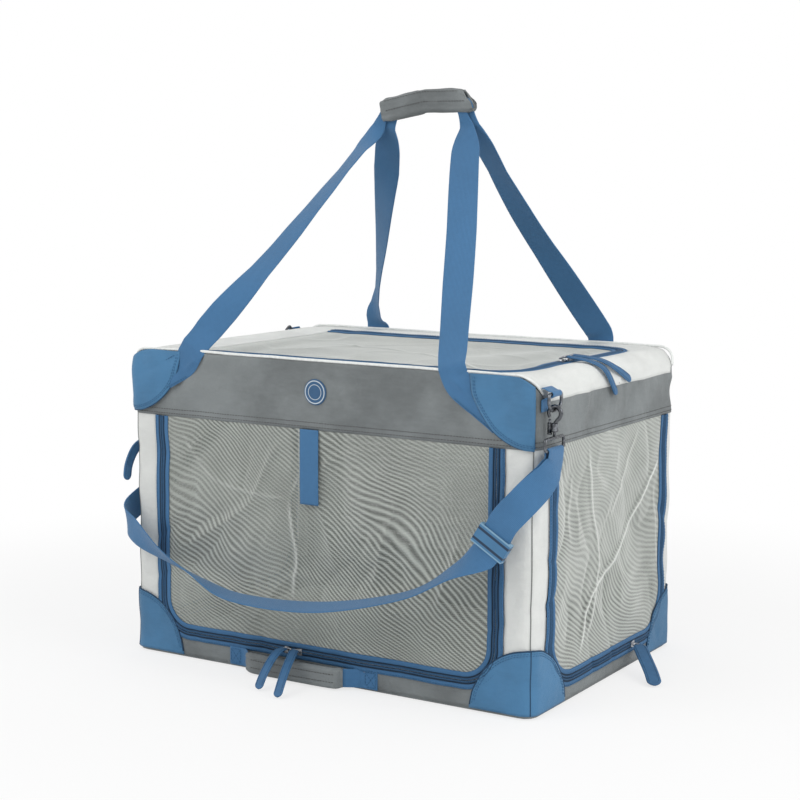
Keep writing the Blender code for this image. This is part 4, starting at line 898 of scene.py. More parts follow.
def badge_disc():
    """Blue disc with two raised pale rings and nothing else on it."""
    made = Finish("badge", 0.36, specular_ior_level=0.45)
    low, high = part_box("badge")
    x, _, z = made.place()
    x, z = x - (low.x + high.x) / 2, z - (low.z + high.z) / 2
    reach = (x * x + z * z) ** 0.5
    outer = reach.between(0.0132, 0.0137) * (1 - reach.between(0.0146, 0.0151))
    inner = reach.between(0.0088, 0.0092) * (1 - reach.between(0.0097, 0.0101))
    rings = outer + inner
    field = made.shade(made.noise(90, 3), (0.030, 0.095, 0.20), 0.85, 1.2)
    made.colour(made.mix(rings, field, (0.55, 0.62, 0.68)))
    return made.bump(rings + made.noise(700, 2) * 0.1, 0.0006, 0.8)


def rubber_pull():
    made = Finish("blue pull tab", 0.55, specular_ior_level=0.4)
    rib = abs((made.uv()[1] * (pi / 0.0028)).sine())
    made.colour(made.shade(made.noise(120, 3), settings().webbing.tape_colour, 0.8, 1.3))
    return made.bump(rib * 0.4 + made.noise(500) * 0.4, 0.0004, 0.6)


MAKERS = {
    "charcoal": charcoal_cloth, "pale": pale_cloth, "guard": guard_cloth, "net": net_cloth, "webbing": blue_webbing,
    "tape": zip_tape, "nickel": nickel, "dark nickel": dark_nickel, "tube": frame_steel, "fleece": fleece,
    "board": board, "plastic": moulded_blue, "pull": rubber_pull, "badge": badge_disc,
}
THREADS = {
    "blue thread": (0.045, 0.135, 0.26), "grey thread": (0.10, 0.10, 0.10), "seam shadow": (0.20, 0.21, 0.205),
    "navy seam": (0.020, 0.055, 0.11), "white corded seam": (0.80, 0.82, 0.80),
}


# Cloth of the body


def fold_with_walls(obj):
    """Give a piece of the cloth between the bands its own copy of its mesh."""
    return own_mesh(obj)


class CARRIER_OT_base(bpy.types.Operator):
    """Floor cloth and the charcoal band round the foot"""
    bl_idname = "carrier.base"
    bl_label = "Base band"
    # The floor's rounded edge: how far each ring lies in from the skin, and its height
    EDGE = ((0.0, 0.0050), (0.0008, 0.0026), (0.0024, 0.0009), (0.0045, 0.0002))
    SHARES = (0.93, 0.75, 0.5, 0.25, 0.02)

    def execute(self, context):
        points, uv, keep = wall_grid(0.004, BASE_BAND)
        points, keep = cut_doors(points, keep)
        band = thicken(lay("base_band", settle(points), uv, True, keep), 0.0014)
        dress(band, "base", "charcoal", "base_cover")

        rings = [plan_loop(inset, 0.009, z)[0] for inset, z in self.EDGE]
        rings += [rings[-1] * (share, share, 1) for share in self.SHARES]
        count = min(len(ring) for ring in rings)
        rings = np.stack([evenly_closed(ring, count) for ring in rings[::-1]])
        floor = lay("floor_cloth", rings, wrapped(rings)[..., :2], ring=True)
        cap_ends(floor)
        dress(floor, "base", "charcoal")
        return {"FINISHED"}


class CARRIER_OT_walls(bpy.types.Operator):
    """Pale pillars with their corner seams, and the back wall with its sewn net"""
    bl_idname = "carrier.walls"
    bl_label = "Pale walls"
    NET_HALF, NET_FOOT, NET_HEAD, NET_RADIUS = 0.240, 0.088, 0.300, 0.030
    NET_HEM = 0.008

    def execute(self, context):
        points, uv, keep = wall_grid(WALL_FOOT, HEAD_FOOT + 0.008)
        points, keep = cut_doors(points, keep)
        points, keep = cut_out(points, self.window, keep, near_face(points, "back"))
        pale = thicken(lay("pale_walls", settle(points, -0.0012), uv, True, keep), 0.0010)
        dress(pale, "base", "pale", "corner_pillar_left", "corner_pillar_right", "back_wall")

        half, low, high, hem = self.NET_HALF, self.NET_FOOT, self.NET_HEAD, self.NET_HEM
        u, v = np.meshgrid(np.linspace(-half - hem, half + hem, 110), np.linspace(low - hem, high + hem, 52))
        inner = smoothstep(0, 0.05, half - np.abs(u)) * smoothstep(0, 0.05, np.minimum(v - low, high - v))
        spots = settle(placed(grid_of(u, v, -0.0026), "back"))
        spots[..., 1] -= 0.004 * inner * (0.5 + 0.5 * ripple(spots, 21, 0.12))
        net = dress(lay("back_net", spots, grid_of(u, v)), "base", "net")

        self.seams("base_corner_seams", 0.005, BASE_BAND, 0.0002, "charcoal_polyester")
        walls = self.seams("wall_corner_seams", BASE_BAND, HEAD_FOOT, -0.0010, "pale_polyester")

        corners = [(-half, low, 0), (half, low, 0), (half, high, 0), (-half, high, 0)]
        hem = hoop("back_net_hem", corners, [self.NET_RADIUS] * 4, 340,
                   lambda line: settle(placed(line, "back"), 0.0002), 0.0016, 8)
        dress(hem, "base", "pale")
        for obj in (pale, net, walls, hem):
            fold_with_walls(obj)
        return {"FINISHED"}

    def seams(self, name, foot, head, lift, slot):
        """The seams up the four upright corners between two heights."""
        cords = []
        for x in (-SKIN_X + CORNER_INSET, SKIN_X - CORNER_INSET):
            for y in (-SKIN_Y + CORNER_INSET, SKIN_Y - CORNER_INSET):
                cords.append(cord("seam", settle(grid_of(x, y, np.linspace(foot, head, 40)), lift), 0.0007, 6))
        return dress(join(name, cords), "base", "seam shadow", slot=slot)

    def window(self, points):
        """Distance to the edge of the opening behind the back's net."""
        half, low, high, radius = self.NET_HALF, self.NET_FOOT, self.NET_HEAD, self.NET_RADIUS
        flat = flat_of(points, "back")[..., :2]
        return round_box(flat, np.array((0, (low + high) / 2)), np.array((half, (high - low) / 2)) - radius, radius)


def head_edge(x):
    """Height of the head band's top edge at x: level, then round the shoulder at the ends."""
    over = np.clip(np.abs(x) - (SKIN_X - SHOULDER), 0, SHOULDER)
    return SHOULDER_FOOT + np.sqrt(SHOULDER ** 2 - over ** 2)


def edge_y(x):
    """How far out the skin of the front and the back lies at x: level, then round the upright corners."""
    corner = np.clip(np.abs(x) - (SKIN_X - EDGE_RADIUS), 0, EDGE_RADIUS)
    return SKIN_Y - EDGE_RADIUS + np.sqrt(EDGE_RADIUS ** 2 - corner ** 2)


class CARRIER_OT_head_band(bpy.types.Operator):
    """Charcoal band under the top edge, with its white corded seam"""
    bl_idname = "carrier.head_band"
    bl_label = "Head band"

    def execute(self, context):
        loop, lengths = plan_loop()
        ends = np.abs(loop[:, 0]) > SKIN_X - 1e-4
        top = np.where(ends, SHOULDER_FOOT, np.maximum(head_edge(loop[:, 0]) - 0.0012, SHOULDER_FOOT))
        heights = HEAD_FOOT + (top[None] - HEAD_FOOT) * np.linspace(0, 1, 24)[:, None]
        points = grid_of(loop[None, :, 0], loop[None, :, 1], heights)
        band = thicken(lay("head_band", settle(points), grid_of(lengths[None], wrapped(heights)), True), 0.0016)
        dress(band, "top", "charcoal", "top_band")
        dress(join("corded_seam", [self.seam(side) for side in (-1, 1)]), "top", "white corded seam",
              slot="charcoal_polyester")

        rings = [plan_loop(0, 0.004, HEAD_FOOT + height)[0] for height in (0.0035, 0.0090)]
        rows = [(settle(ring, 0.0001), skin_normal(ring)) for ring in rings]
        dress(stitches("head_band_stitches", rows), "top", "grey thread")
        # The row on the foot band breaks off at the zips
        ring, _ = plan_loop(0, 0.004, BASE_BAND - 0.0035)
        clear = np.minimum.reduce([opening(flat_of(ring, k)[..., :2], k, TAPE) + 9 * (flat_of(ring, k)[..., 2] < -0.003)
                                   for k in ("front", "right", "left")]) > 0.002
        runs = np.split(np.arange(len(ring)), np.where(np.diff(clear.astype(int)))[0] + 1)
        rows = [(settle(ring[r], 0.0001), skin_normal(ring[r])) for r in runs if clear[r[0]] and len(r) > 3]
        dress(stitches("base_band_stitches", rows), "base", "grey thread")
        return {"FINISHED"}

    def seam(self, side):
        """The cord along the front's or the back's top edge and down over the ends' shoulders."""
        shoulder = SHOULDER * np.sin(np.linspace(0, radians(84), 24)[1:])
        x = np.concatenate([np.linspace(0, SKIN_X - SHOULDER, 120), SKIN_X - SHOULDER + shoulder])
        x = np.concatenate([-x[:0:-1], x])
        line = grid_of(x, side * (edge_y(x) - 0.0016), head_edge(x) + 0.0008)
        line[:, 2] += 0.0006 * ripple(line, 31, 0.09)
        return cord(f"seam_{side}", line, 0.0019, 10)


class CARRIER_OT_top_panel(bpy.types.Operator):
    """Pale top that rolls over both ends"""
    bl_idname = "carrier.top_panel"
    bl_label = "Top panel"

    def execute(self, context):
        straight = SKIN_X - SHOULDER
        run = np.linspace(-1, 1, 150) * (straight + SHOULDER * pi / 2 + 0.006)
        over = np.clip(np.abs(run) - straight, 0, SHOULDER * pi / 2) / SHOULDER
        down = np.clip(np.abs(run) - straight - SHOULDER * pi / 2, 0, None)
        x = np.sign(run) * (np.minimum(np.abs(run), straight) + SHOULDER * np.sin(over))
        z = SHOULDER_FOOT + SHOULDER * np.cos(over) - down
        share = np.linspace(-1, 1, 96)[:, None]
        points = grid_of(x[None], share * (edge_y(x) - 0.0026)[None], z[None])
        uv = grid_of(run[None], share * SKIN_Y)
        points, keep = cut_doors(points, np.ones((len(share) - 1, len(run) - 1), bool), ("top",))
        panel = thicken(lay("top_cloth", settle(points, 0.0003), uv, False, keep), 0.0014)
        dress(panel, "top", "pale", "top_panel")
        return {"FINISHED"}


class CARRIER_OT_guards(bpy.types.Operator):
    """Blue corner guards with their stitched edges"""
    bl_idname = "carrier.guards"
    bl_label = "Corner guards"
    BASE_REACH = 0.085
    HEAD_REACH = {-1: 0.084, 1: 0.088}
    PADDING = {-1: 0.0068, 1: 0.0016}

    def execute(self, context):
        hands = (-1, 1)
        nodes = [f"base_patch_{s}_{h}" for s in ("front", "back") for h in ("left", "right")]
        self.finish_group("base", "base", [self.base_guard(side, hand) for side in hands for hand in hands], nodes)
        nodes = ["top_patch_left", "top_patch_right"]
        self.finish_group("head", "top", [self.head_guard(hand) for hand in hands], nodes)
        return {"FINISHED"}

    def finish_group(self, word, body, made, nodes):
        """The guards of one body as three pieces: their cloth, their cords and their thread."""
        guards, edges, sewn = ([piece for group in kind for piece in group] for kind in zip(*made))
        guard = thicken(join(f"{word}_guards", guards), 0.0014, outward=True)
        dress(guard, body, "guard", *nodes)
        dress(join(f"{word}_guard_edges", edges), body, "navy seam", slot="guard_cloth")
        dress(stitches(f"{word}_guard_stitches", sewn), body, "blue thread", slot="guard_cloth")

    def base_guard(self, side, hand):
        """A round guard on a foot corner: its cloth, its cords and its rows of thread."""
        centre = np.array((hand * SKIN_X, side * SKIN_Y, 0.0))
        points, uv, keep = wall_grid(0.0045, 0.094, 26)
        near = norm(points - centre) < 0.15
        points, keep = cut_out(points, lambda p: self.BASE_REACH - norm(p - centre), keep, near)
        keep &= self.faces_near(points, centre, 0.09)
        guard = lay(f"guard_{side}_{hand}", settle(points, 0.0003), uv, True, keep)
        line = self.ball_line(centre, self.BASE_REACH - 0.0005)
        edge = cord(f"guard_edge_{side}_{hand}", settle(line, 0.0012), 0.0010, 8)
        rows = [self.ball_line(centre, self.BASE_REACH - inset) for inset in (0.0035, 0.0060)]
        line = grid_of(hand * (SKIN_X - CORNER_INSET), side * (SKIN_Y - CORNER_INSET), np.linspace(0.005, 0.0835, 30))
        seam = cord(f"guard_seam_{side}_{hand}", settle(line, 0.0017), 0.0006, 6)
        return [guard], [edge, seam], [(settle(row, 0.00175), skin_normal(row)) for row in rows]

    def head_guard(self, hand):
        """A padded guard on a top corner of the front: its cloth, its cords and its rows of thread."""
        loop, lengths = plan_loop()
        top = np.maximum(head_edge(loop[:, 0]) - 0.0016, SHOULDER_FOOT)
        foot = HEAD_FOOT + 0.0004
        points = grid_of(loop[None, :, 0], loop[None, :, 1], foot + (top[None] - foot) * np.linspace(0, 1, 28)[:, None])
        uv = grid_of(lengths[None], points[:, :1, 2])
        near = (points[..., 1] < -SKIN_Y + EDGE_RADIUS) & (hand * points[..., 0] > 0.1)
        everywhere = np.ones((len(points) - 1, len(loop)), bool)
        points, keep = cut_out(points, lambda p: -self.head_shape(p, hand), everywhere, near)
        wrap = EDGE_RADIUS if hand < 0 else CORNER_INSET
        keep &= self.faces_near(points, np.array((hand * SKIN_X, -SKIN_Y, 0.38)), 0.16)
        keep &= ~quads(wrapped(points[..., 1] > -SKIN_Y + wrap + 0.0003)).any(axis=-1)
        guard = lay(f"head_guard_{hand}", settle(points, 0.0021 + self.swell(points, hand)), uv, True, keep)
        line = self.head_line(hand, 0.0004)
        edges = [cord(f"head_guard_edge_{hand}", settle(line, 0.0027 + self.swell(line, hand)), 0.0009, 8)]
        if hand > 0:
            z = np.linspace(HEAD_FOOT + 0.002, SHOULDER_FOOT, 24)
            line = grid_of(SKIN_X - CORNER_INSET, CORNER_INSET - SKIN_Y, z)
            edges.append(cord("head_guard_side", settle(line, 0.0024), 0.0009, 8))
        rows = [self.head_line(hand, inset) for inset in (0.0040, 0.0062)]
        return [guard], edges, [(settle(row, 0.0036 + self.swell(row, hand)), skin_normal(row)) for row in rows]

    def swell(self, points, hand):
        """The head guards are padded: the left one stands out round its corner, the right one only a little."""
        centre = np.array((hand * (SKIN_X - 0.004), -SKIN_Y + 0.004, SKIN_TOP - 0.040))
        far = norm((points - centre) / np.array((0.040, 0.040, 0.036)))
        return self.PADDING[hand] * np.exp(-far ** 2) * smoothstep(0.0, 0.012, points[..., 2] - HEAD_FOOT)

    def faces_near(self, points, centre, reach):
        """Which faces lie wholly within reach of a centre."""
        far = norm(points - centre) > reach
        return ~quads(wrapped(far)).any(axis=-1)

    def ball_line(self, centre, radius):
        """Where a ball round a foot corner meets the upright cloth."""
        loop, _ = plan_loop(0, 0.003)
        flat = norm(loop[:, :2] - centre[:2])
        near = np.where(flat < radius)[0]
        cuts = np.where(np.diff(near) > 1)[0]
        if len(cuts):
            near = np.concatenate([near[cuts[0] + 1:], near[:cuts[0] + 1]])
        line = loop[near].copy()
        line[:, 2] = np.sqrt(np.maximum(radius ** 2 - flat[near] ** 2, 0))
        return line[line[:, 2] > 0.006]

    def head_shape(self, points, hand):
        """Distance past the head guard's round inner edge, in the front's u and v."""
        corner = np.array((hand * SKIN_X, SKIN_TOP))
        return norm(points[..., (0, 2)] - corner) - self.HEAD_REACH[hand]

    def head_line(self, hand, inset):
        """A line along the head guard's round edge, set in by inset."""
        radius = self.HEAD_REACH[hand] - inset
        angles = np.linspace(0.04, pi / 2 - 0.04, 60)
        flat = np.array([(hand * (SKIN_X - radius * cos(a)), -SKIN_Y, SKIN_TOP - radius * sin(a)) for a in angles])
        over = np.abs(flat[:, 0]) - (SKIN_X - EDGE_RADIUS)
        flat = flat[over < EDGE_RADIUS * 0.9]
        flat[:, 1] = -edge_y(flat[:, 0])
        return flat[flat[:, 2] > HEAD_FOOT + 0.001]


# Zips and doors

# Sharp creases of the nets, in their face's u and v: how strong, and the line of each
NET_CREASES = {
    "right": ((1.0, ((0.1617, 0.2678), (0.0956, 0.2129), (0.0112, 0.1484), (-0.0468, 0.1147), (-0.0786, 0.0512))),
              (0.7, ((-0.0615, 0.3136), (-0.0526, 0.2432), (-0.0225, 0.1614), (-0.0349, 0.1122), (-0.0562, 0.0653))),
              (0.4, ((-0.1026, 0.2883), (-0.1140, 0.2283), (-0.1071, 0.1961))),
              (0.4, ((0.0884, 0.3200), (0.0083, 0.2076))), (0.4, ((0.1433, 0.2392), (0.1600, 0.1200)))),
    "front": ((0.7, ((-0.0535, 0.2310), (-0.0443, 0.1931), (-0.0413, 0.1544), (-0.0462, 0.1015))),
              (0.3, ((-0.2221, 0.3072), (-0.1650, 0.2460), (-0.0535, 0.2310))),
              (0.3, ((-0.0302, 0.2720), (-0.0535, 0.2310)))),
    "left": ((0.7, ((-0.1300, 0.2900), (-0.0500, 0.2100), (0.0300, 0.1500), (0.0900, 0.0700))),
             (0.4, ((0.1000, 0.3000), (0.0600, 0.2200), (0.0300, 0.1500)))),
    "top": ((0.5, ((-0.1400, -0.2200), (-0.0300, -0.0600), (0.0600, 0.1500))),),
}
# Half a zip's section: how far each point lies from the seam, and from the cloth
TRACK_PROFILE = ((0.00025, 0.0003), (0.0006, 0.0016), (0.0016, 0.0020), (0.0024, 0.0015), (0.0029, 0.0003),
                 (0.0046, 0.0003), (0.0051, 0.0011), (0.0075, 0.0013), (0.0100, 0.0010), (0.0107, 0.0002))


class CARRIER_OT_zips(bpy.types.Operator):
    """Zip halves round each door, and the nets that they close"""
    bl_idname = "carrier.zips"
    bl_label = "Zips and doors"
    SEEDS = {"front": 41, "right": 47, "left": 52, "top": 58}
    # A sharp crease of a net: its height, and how far it reaches to each side in the shape and in the colour
    CREASE_HEIGHT, CREASE_BEND, CREASE_LINE = 0.0030, 0.0036, 0.0017

    def execute(self, context):
        for key in DOORS:
            body = "top" if key == "top" else "base"
            track = dress(self.half(key, 1), body, "tape", f"{key}_zip_track")
            door = dress(self.half(key, -1), f"{key}_door", "tape")
            net = dress(self.net(key), f"{key}_door", "net", f"{key}_door")
            sewn = dress(self.sewn(key), body, "blue thread", slot="zip_tape")
            if key != "top":
                for obj in (track, sewn):
                    fold_with_walls(obj)
                for obj in (net, door):
                    fold_with_walls(obj)
        return {"FINISHED"}

    def half(self, key, side):
        """One half of a zip, a profile carried round the door's line."""
        rows, marks = [], []
        for offset, lift in TRACK_PROFILE:
            line = door_line(key, side * offset)
            rows.append(settle(placed(line, key), lift))
            marks.append(grid_of(side * offset, lengths_of(line)))
        points, uv = np.stack(rows, 1), np.stack(marks, 1)
        if side < 0:
            points, uv = points[:, ::-1], uv[:, ::-1]
        return thicken(lay(f"{key}_{'track' if side > 0 else 'door_zip'}", points, uv), 0.0010)

    def sewn(self, key):
        """The row of thread that holds a zip's tape to the cloth."""
        flat = placed(door_line(key, 0.0088), key)
        return stitches(f"{key}_zip_stitches", [(settle(flat, 0.0013), skin_normal(flat))])

    def net(self, key):
        """A door's slack net, which reaches 8.5 mm short of the zip's seam."""
        low, high, foot, head, _ = DOORS[key]
        step, inset = 0.0024, -0.0085
        u, v = np.meshgrid(np.linspace(low, high, round((high - low) / step)),
                           np.linspace(foot, head - GAP, round((head - foot) / step)))
        everywhere = np.ones(u.shape, bool)

        def within(p):
            return -opening(flat_of(p, key)[..., :2], key, inset)

        points, keep = cut_out(placed(grid_of(u, v), key), within, everywhere[1:, 1:], everywhere, step)
        flat = flat_of(points, key)
        hang = smoothstep(0, 0.05, np.maximum(within(points), 0)) * smoothstep(0, 0.045, head - flat[..., 1])
        slack = settings().cloth.net_slack
        wave = ripple(points, self.SEEDS[key], 0.15)
        crease = folds(points, 61, 0.16) * (0.6 if key == "front" else 0.25)
        sharp = self.creases(flat[..., :2], key, self.CREASE_BEND)
        move = slack * hang * (wave * 0.6 + crease - 0.55) + self.CREASE_HEIGHT * hang * sharp
        points = settle(points, -0.0006) + skin_normal(points) * move[..., None]
        net = lay(f"{key}_net", points, flat[..., :2], False, keep)
        spots = flat_of(points_of(net), key)[:, :2]
        marks = net.data.attributes.new("crease", "FLOAT", "POINT")
        marks.data.foreach_set("value", self.creases(spots, key, self.CREASE_LINE))
        return net

    def creases(self, flat, key, reach):
        """How much of a sharp crease passes through points in a face's u and v, from 0 to 1."""
        total = np.zeros(flat.shape[:-1])
        for strength, corners in NET_CREASES[key]:
            line = smooth([(u + 0.0015 * sin(90 * v), v) for u, v in corners], 10)
            near = np.full(flat.shape[:-1], 1.0)
            for a, b in zip(line[:-1], line[1:]):
                share = np.clip((flat - a) @ (b - a) / ((b - a) @ (b - a)), 0, 1)
                near = np.minimum(near, norm(flat - a - share[..., None] * (b - a)))
            ends = smoothstep(0, 0.03, np.minimum(norm(flat - line[0]), norm(flat - line[-1])) + 0.006)
            total = np.maximum(total, strength * ends * np.exp(-(near / reach) ** 2))
        return total


# Handles and straps

# The grip's middle line in x and z
GRIP_LEFT, GRIP_BEND, GRIP_RIGHT = (-0.038, 0.7255), (0.028, 0.7385), (0.100, 0.7385)
# Heights where the handles are hinged, where their legs clear the top's edge, and where they meet in the grip
HINGE_Z, EDGE_CLEAR, GRIP_FOOT = SHOULDER_FOOT + SHOULDER / 2, 0.418, 0.7055
# The share of its width that the webbing keeps in the grip, and half of its thickness
GATHERED, HALF_WEB = 0.34, 0.00075
# The corners of each handle in x and z with the radius of its turns. The front ends turn outwards under the guards
HANDLE_CORNERS = {
    -1: ((-0.2620, 0.3695, 0), (-0.2095, 0.3975, 0.034), (-0.1260, 0.5434, 0.5), (-0.0335, 0.7262, 0.0085),
         (0.028, 0.7385, 0.06), (0.0790, 0.7370, 0.0085), (0.1378, 0.5750, 0.5), (0.1960, 0.3985, 0.034),
         (0.2560, 0.3570, 0)),
    1: ((-0.1760, 0.3560, 0), (-0.1760, 0.4300, 0.020), (-0.1170, 0.5400, 0.5), (-0.0195, 0.7262, 0.0085),
        (0.028, 0.7385, 0.06), (0.0890, 0.7370, 0.0085), (0.1335, 0.5695, 0.5), (0.1890, 0.4280, 0.024),
        (0.1890, 0.3560, 0)),
}
# How far each leg's face is turned to the right, in degrees, from its foot upwards
LEG_HEIGHTS = (0.415, 0.428, 0.442, 0.464, 0.490, 0.515, 0.543, 0.569, 0.596, 0.622, 0.648, 0.675, 0.700)
LEG_TURNS = {
    (-1, -1): (0, 12, 30, 32, 14, -3, -9, -12, -19, -22, -28, -26, 0),
    (-1, 1): (0, 0, 0, 2, 8, 15, 16, 16, 16, 16, 12, 6, 0),
    (1, -1): (0, -12, -42, -58, -58, -52, -43, -35, -26, -15, 0, -4, 0),
    (1, 1): (0, 14, 20, 20, 17, 11, 2, -2, -5, -11, -18, -14, 0),
}


def handle_path(side):
    """The middle line of a handle with the direction of its width, its share of the full width, bow and thickness."""
    corners = HANDLE_CORNERS[side]
    line = rounded([(x, z, 0) for x, z, _ in corners], [r for _, _, r in corners], 14)[:, :2]
    line = evenly(line, 0.004)
    outside, inside = SKIN_Y + GAP + HALF_WEB, 0.0023
    share = np.clip((line[:, 1] - EDGE_CLEAR) / (GRIP_FOOT - EDGE_CLEAR), 0, 1)
    path = np.column_stack([line[:, 0], side * (outside + (inside - outside) * share), line[:, 1]])
    lean = unit(np.array((0, side * (outside - inside), EDGE_CLEAR - GRIP_FOOT)))
    sheet = np.cross(lean, (1, 0, 0))
    sheet = sheet if sheet[1] > 0 else -sheet
    blend = smoothstep(EDGE_CLEAR - 0.004, EDGE_CLEAR + 0.02, path[:, 2]) * (1 - smoothstep(0.69, 0.71, path[:, 2]))
    facing = unit(np.array((0, 1.0, 0)) * (1 - blend[:, None]) + sheet * blend[:, None])
    along = unit(np.gradient(path, axis=0))
    across = unit(np.cross(along, facing))
    legs = [np.interp(path[:, 2], LEG_HEIGHTS, LEG_TURNS[side, hand]) for hand in (-1, 1)]
    turn = np.radians(np.where(path[:, 0] < GRIP_BEND[0], *legs))[:, None]
    rightwards = across * np.sign(across[:, :1])
    across = unit(np.cross(along, facing * np.cos(turn) - rightwards * np.sin(turn)))
    gather = smoothstep(0.672, 0.724, path[:, 2])
    held = smoothstep(GRIP_LEFT[0] - 0.012, GRIP_LEFT[0], path[:, 0]) * (
        1 - smoothstep(GRIP_RIGHT[0], GRIP_RIGHT[0] + 0.012, path[:, 0]))
    bow = 0.0004 + 0.0042 * gather * (1 - held) * (1 - held)
    return path, across, 1 + (GATHERED - 1) * gather, bow, 1 + 0.7 * gather


class CARRIER_OT_handles(bpy.types.Operator):
    """Both webbing handles, their ends sewn flat to the head band"""
    bl_idname = "carrier.handles"
    bl_label = "Carrying handles"

    def execute(self, context):
        web = settings().webbing
        for word, side in (("front", -1), ("rear", 1)):
            path, across, width, bow, thick = handle_path(side)
            free = smoothstep(EDGE_CLEAR, EDGE_CLEAR + 0.05, path[:, 2]) * (1 - smoothstep(0.64, 0.69, path[:, 2]))
            path[:, 1] += side * 0.0016 * free * ripple(path, 71, 0.2)
            lower = path[:, 2] < EDGE_CLEAR - 0.003
            path[lower] = settle(path[lower])
            section = strip_section(web.width, web.thickness, 12)
            obj = ribbon(f"{word}_webbing", path, across, section, width, bow * np.where(side < 0, 1, -1), thick)
            self.pinch(obj, side)
            dress(obj, None, "webbing", f"{word}_handle")
            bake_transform(obj)
            sewn = stitches(f"{word}_handle_stitches", self.rows(path, across, side))
            dress(sewn, "top", "blue thread", slot="blue_webbing")
        return {"FINISHED"}

    def pinch(self, obj, side):
        """A slanted fold across each of the front handle's ends, where it is sewn down."""
        points = points_of(obj)
        for hand in (-1, 1):
            x, z = (points[:, 0] - hand * HANDLE_FOOT_X) * hand, points[:, 2] - 0.396
            ridge = np.exp(-((x * 0.55 + z * 0.83) / 0.0032) ** 2) * np.exp(-((x * 0.83 - z * 0.55) / 0.013) ** 2)
            points[:, 1] += side * 0.0026 * ridge * (side < 0)
        move_points(obj, points)

    def rows(self, path, across, side):
        """Thread across and along the sewn ends: a boxed cross at the rear, rows beside the guards in front."""
        lines = []
        lift = np.array((0, side * 0.0013, 0))
        if side < 0:
            low = path[:, 2] < HINGE_Z - 0.004
            for hand in (-1, 1):
                part = low & (hand * path[:, 0] > 0)
                for offset in (-0.0165, 0.0165):
                    lines.append((path[part] + across[part] * offset + lift, (0, side, 0)))
            return lines
        for x in (HANDLE_CORNERS[side][0][0], HANDLE_CORNERS[side][-1][0]):
            runs = boxed_cross(x - 0.0155, x + 0.0155, HINGE_Z - 0.040, HINGE_Z - 0.004, side * SKIN_Y)
            lines += [(settle(run, 0.0024), (0, side, 0)) for run in runs]
        return lines


class CARRIER_OT_grip(bpy.types.Operator):
    """Padded grip, wrapped round both handles and closed by its flap"""
    bl_idname = "carrier.grip"
    bl_label = "Padded grip"
    # Half its depth inside, half its height, the thickness of its padding, and the radius of its edges
    SIZES = (0.0046, 0.0150, 0.0035, 0.0045)
    # Past this depth or height a point of its section is on the outside
    OUTSIDE = (0.0079, 0.0147)

    def execute(self, context):
        corners = [(GRIP_LEFT[0], 0, GRIP_LEFT[1]), (GRIP_BEND[0], 0, GRIP_BEND[1]), (GRIP_RIGHT[0], 0, GRIP_RIGHT[1])]
        path = evenly(rounded(corners, [0, 0.060, 0]), 0.0022)
        deep, high, wall, r = self.SIZES
        turns = np.linspace(0, pi / 2, 5)
        back = deep + wall
        outer = [(deep - GAP, -high)] + [(-(back - r) - r * sin(a), -(high - r) - r * cos(a)) for a in turns]
        outer += [(-back, t) for t in np.linspace(-high + r, high - r, 12)[1:-1]]
        outer += [(-(back - r) - r * cos(a), (high - r) + r * sin(a)) for a in turns] + [(deep - GAP, high)]
        inner = [(deep - GAP, high - wall), (-deep, high - wall), (-deep, wall - high), (deep - GAP, wall - high)]
        pad, _, _ = self.pad("grip_pad", path, np.array(outer + inner), 0.0011)
        dress(pad, "rear_handle", "charcoal", "grip_wrap")
        flap = [(deep, high), (deep, -high)]
        flap += [(back - r + r * sin(a), -high + r - r * cos(a)) for a in turns]
        flap += [(back, t) for t in np.linspace(-high + r, high - r, 12)[1:-1]]
        flap += [(back - r + r * cos(a), high - r + r * sin(a)) for a in turns]
        flap, side, normal = self.pad("grip_front_flap", path, np.array(flap), 0.0009, lifted=True)
        dress(flap, None, "charcoal", "grip_flap")
        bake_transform(flap)
        rows = [path + side * 0.0082 + normal * height - (0, 0.0009, 0) for height in (0.0010, -0.0120)]
        sewn = stitches("grip_stitches", [(rows[0][3:-3], (0, -1, 0)), (rows[1][3:-9], (0, -1, 0))])
        dress(sewn, "grip_flap", "grey thread")
        return {"FINISHED"}

    def pad(self, name, path, section, puff, lifted=False):
        """A wrapped pad, drawn in at its middle seam and its ends, with soft creases along it."""
        along = unit(np.gradient(path, axis=0))
        normal = unit(np.cross(along, (0, -1.0, 0)))
        side = np.cross(normal, along)
        run = lengths_of(path) / lengths_of(path)[-1]
        pinch = 1 - 0.13 * (1 - smoothstep(0, 0.07, run)) - 0.13 * smoothstep(0.93, 1, run)
        a = section[:, 0] * (0.25 + 0.75 * pinch[:, None])
        b = section[:, 1] * pinch[:, None]
        rings = path[:, None] + side[:, None] * a[..., None] + normal[:, None] * b[..., None]
        away = unit(rings - path[:, None])
        waist = np.exp(-((run - 0.46) / 0.018) ** 2) + 0.7 * np.exp(-((run - 0.04) / 0.03) ** 2)
        level = section[:, 1][None]
        welt = np.exp(-((level - 0.0065) / 0.0014) ** 2) + np.exp(-((level + 0.0045) / 0.0022) ** 2)
        swell = puff * (ripple(rings, 81, 0.035) * 0.7 + 0.5 - 1.1 * waist[:, None] - 0.8 * welt)
        outer = (np.abs(section) > np.array(self.OUTSIDE)).any(axis=1)
        rings = rings + away * (swell * outer[None])[..., None]
        slant = smoothstep(0.006, -0.015, level) * smoothstep(0.70, 1, run)[:, None]
        rings = rings + slant[..., None] * np.array((-0.0150, 0, 0))
        if lifted:
            tip = smoothstep(0.90, 1, run)[:, None] * smoothstep(0.009, 0.0150, level)
            rings = rings + tip[..., None] * np.array((0.0012, -0.0022, 0.0016))
        across = np.append(lengths_of(section), lengths_of(section)[-1] + 0.01)
        obj = lay(name, rings, grid_of(across[None], lengths_of(path)[:, None]), ring=True)
        cap_ends(obj)
        return obj, side, normal


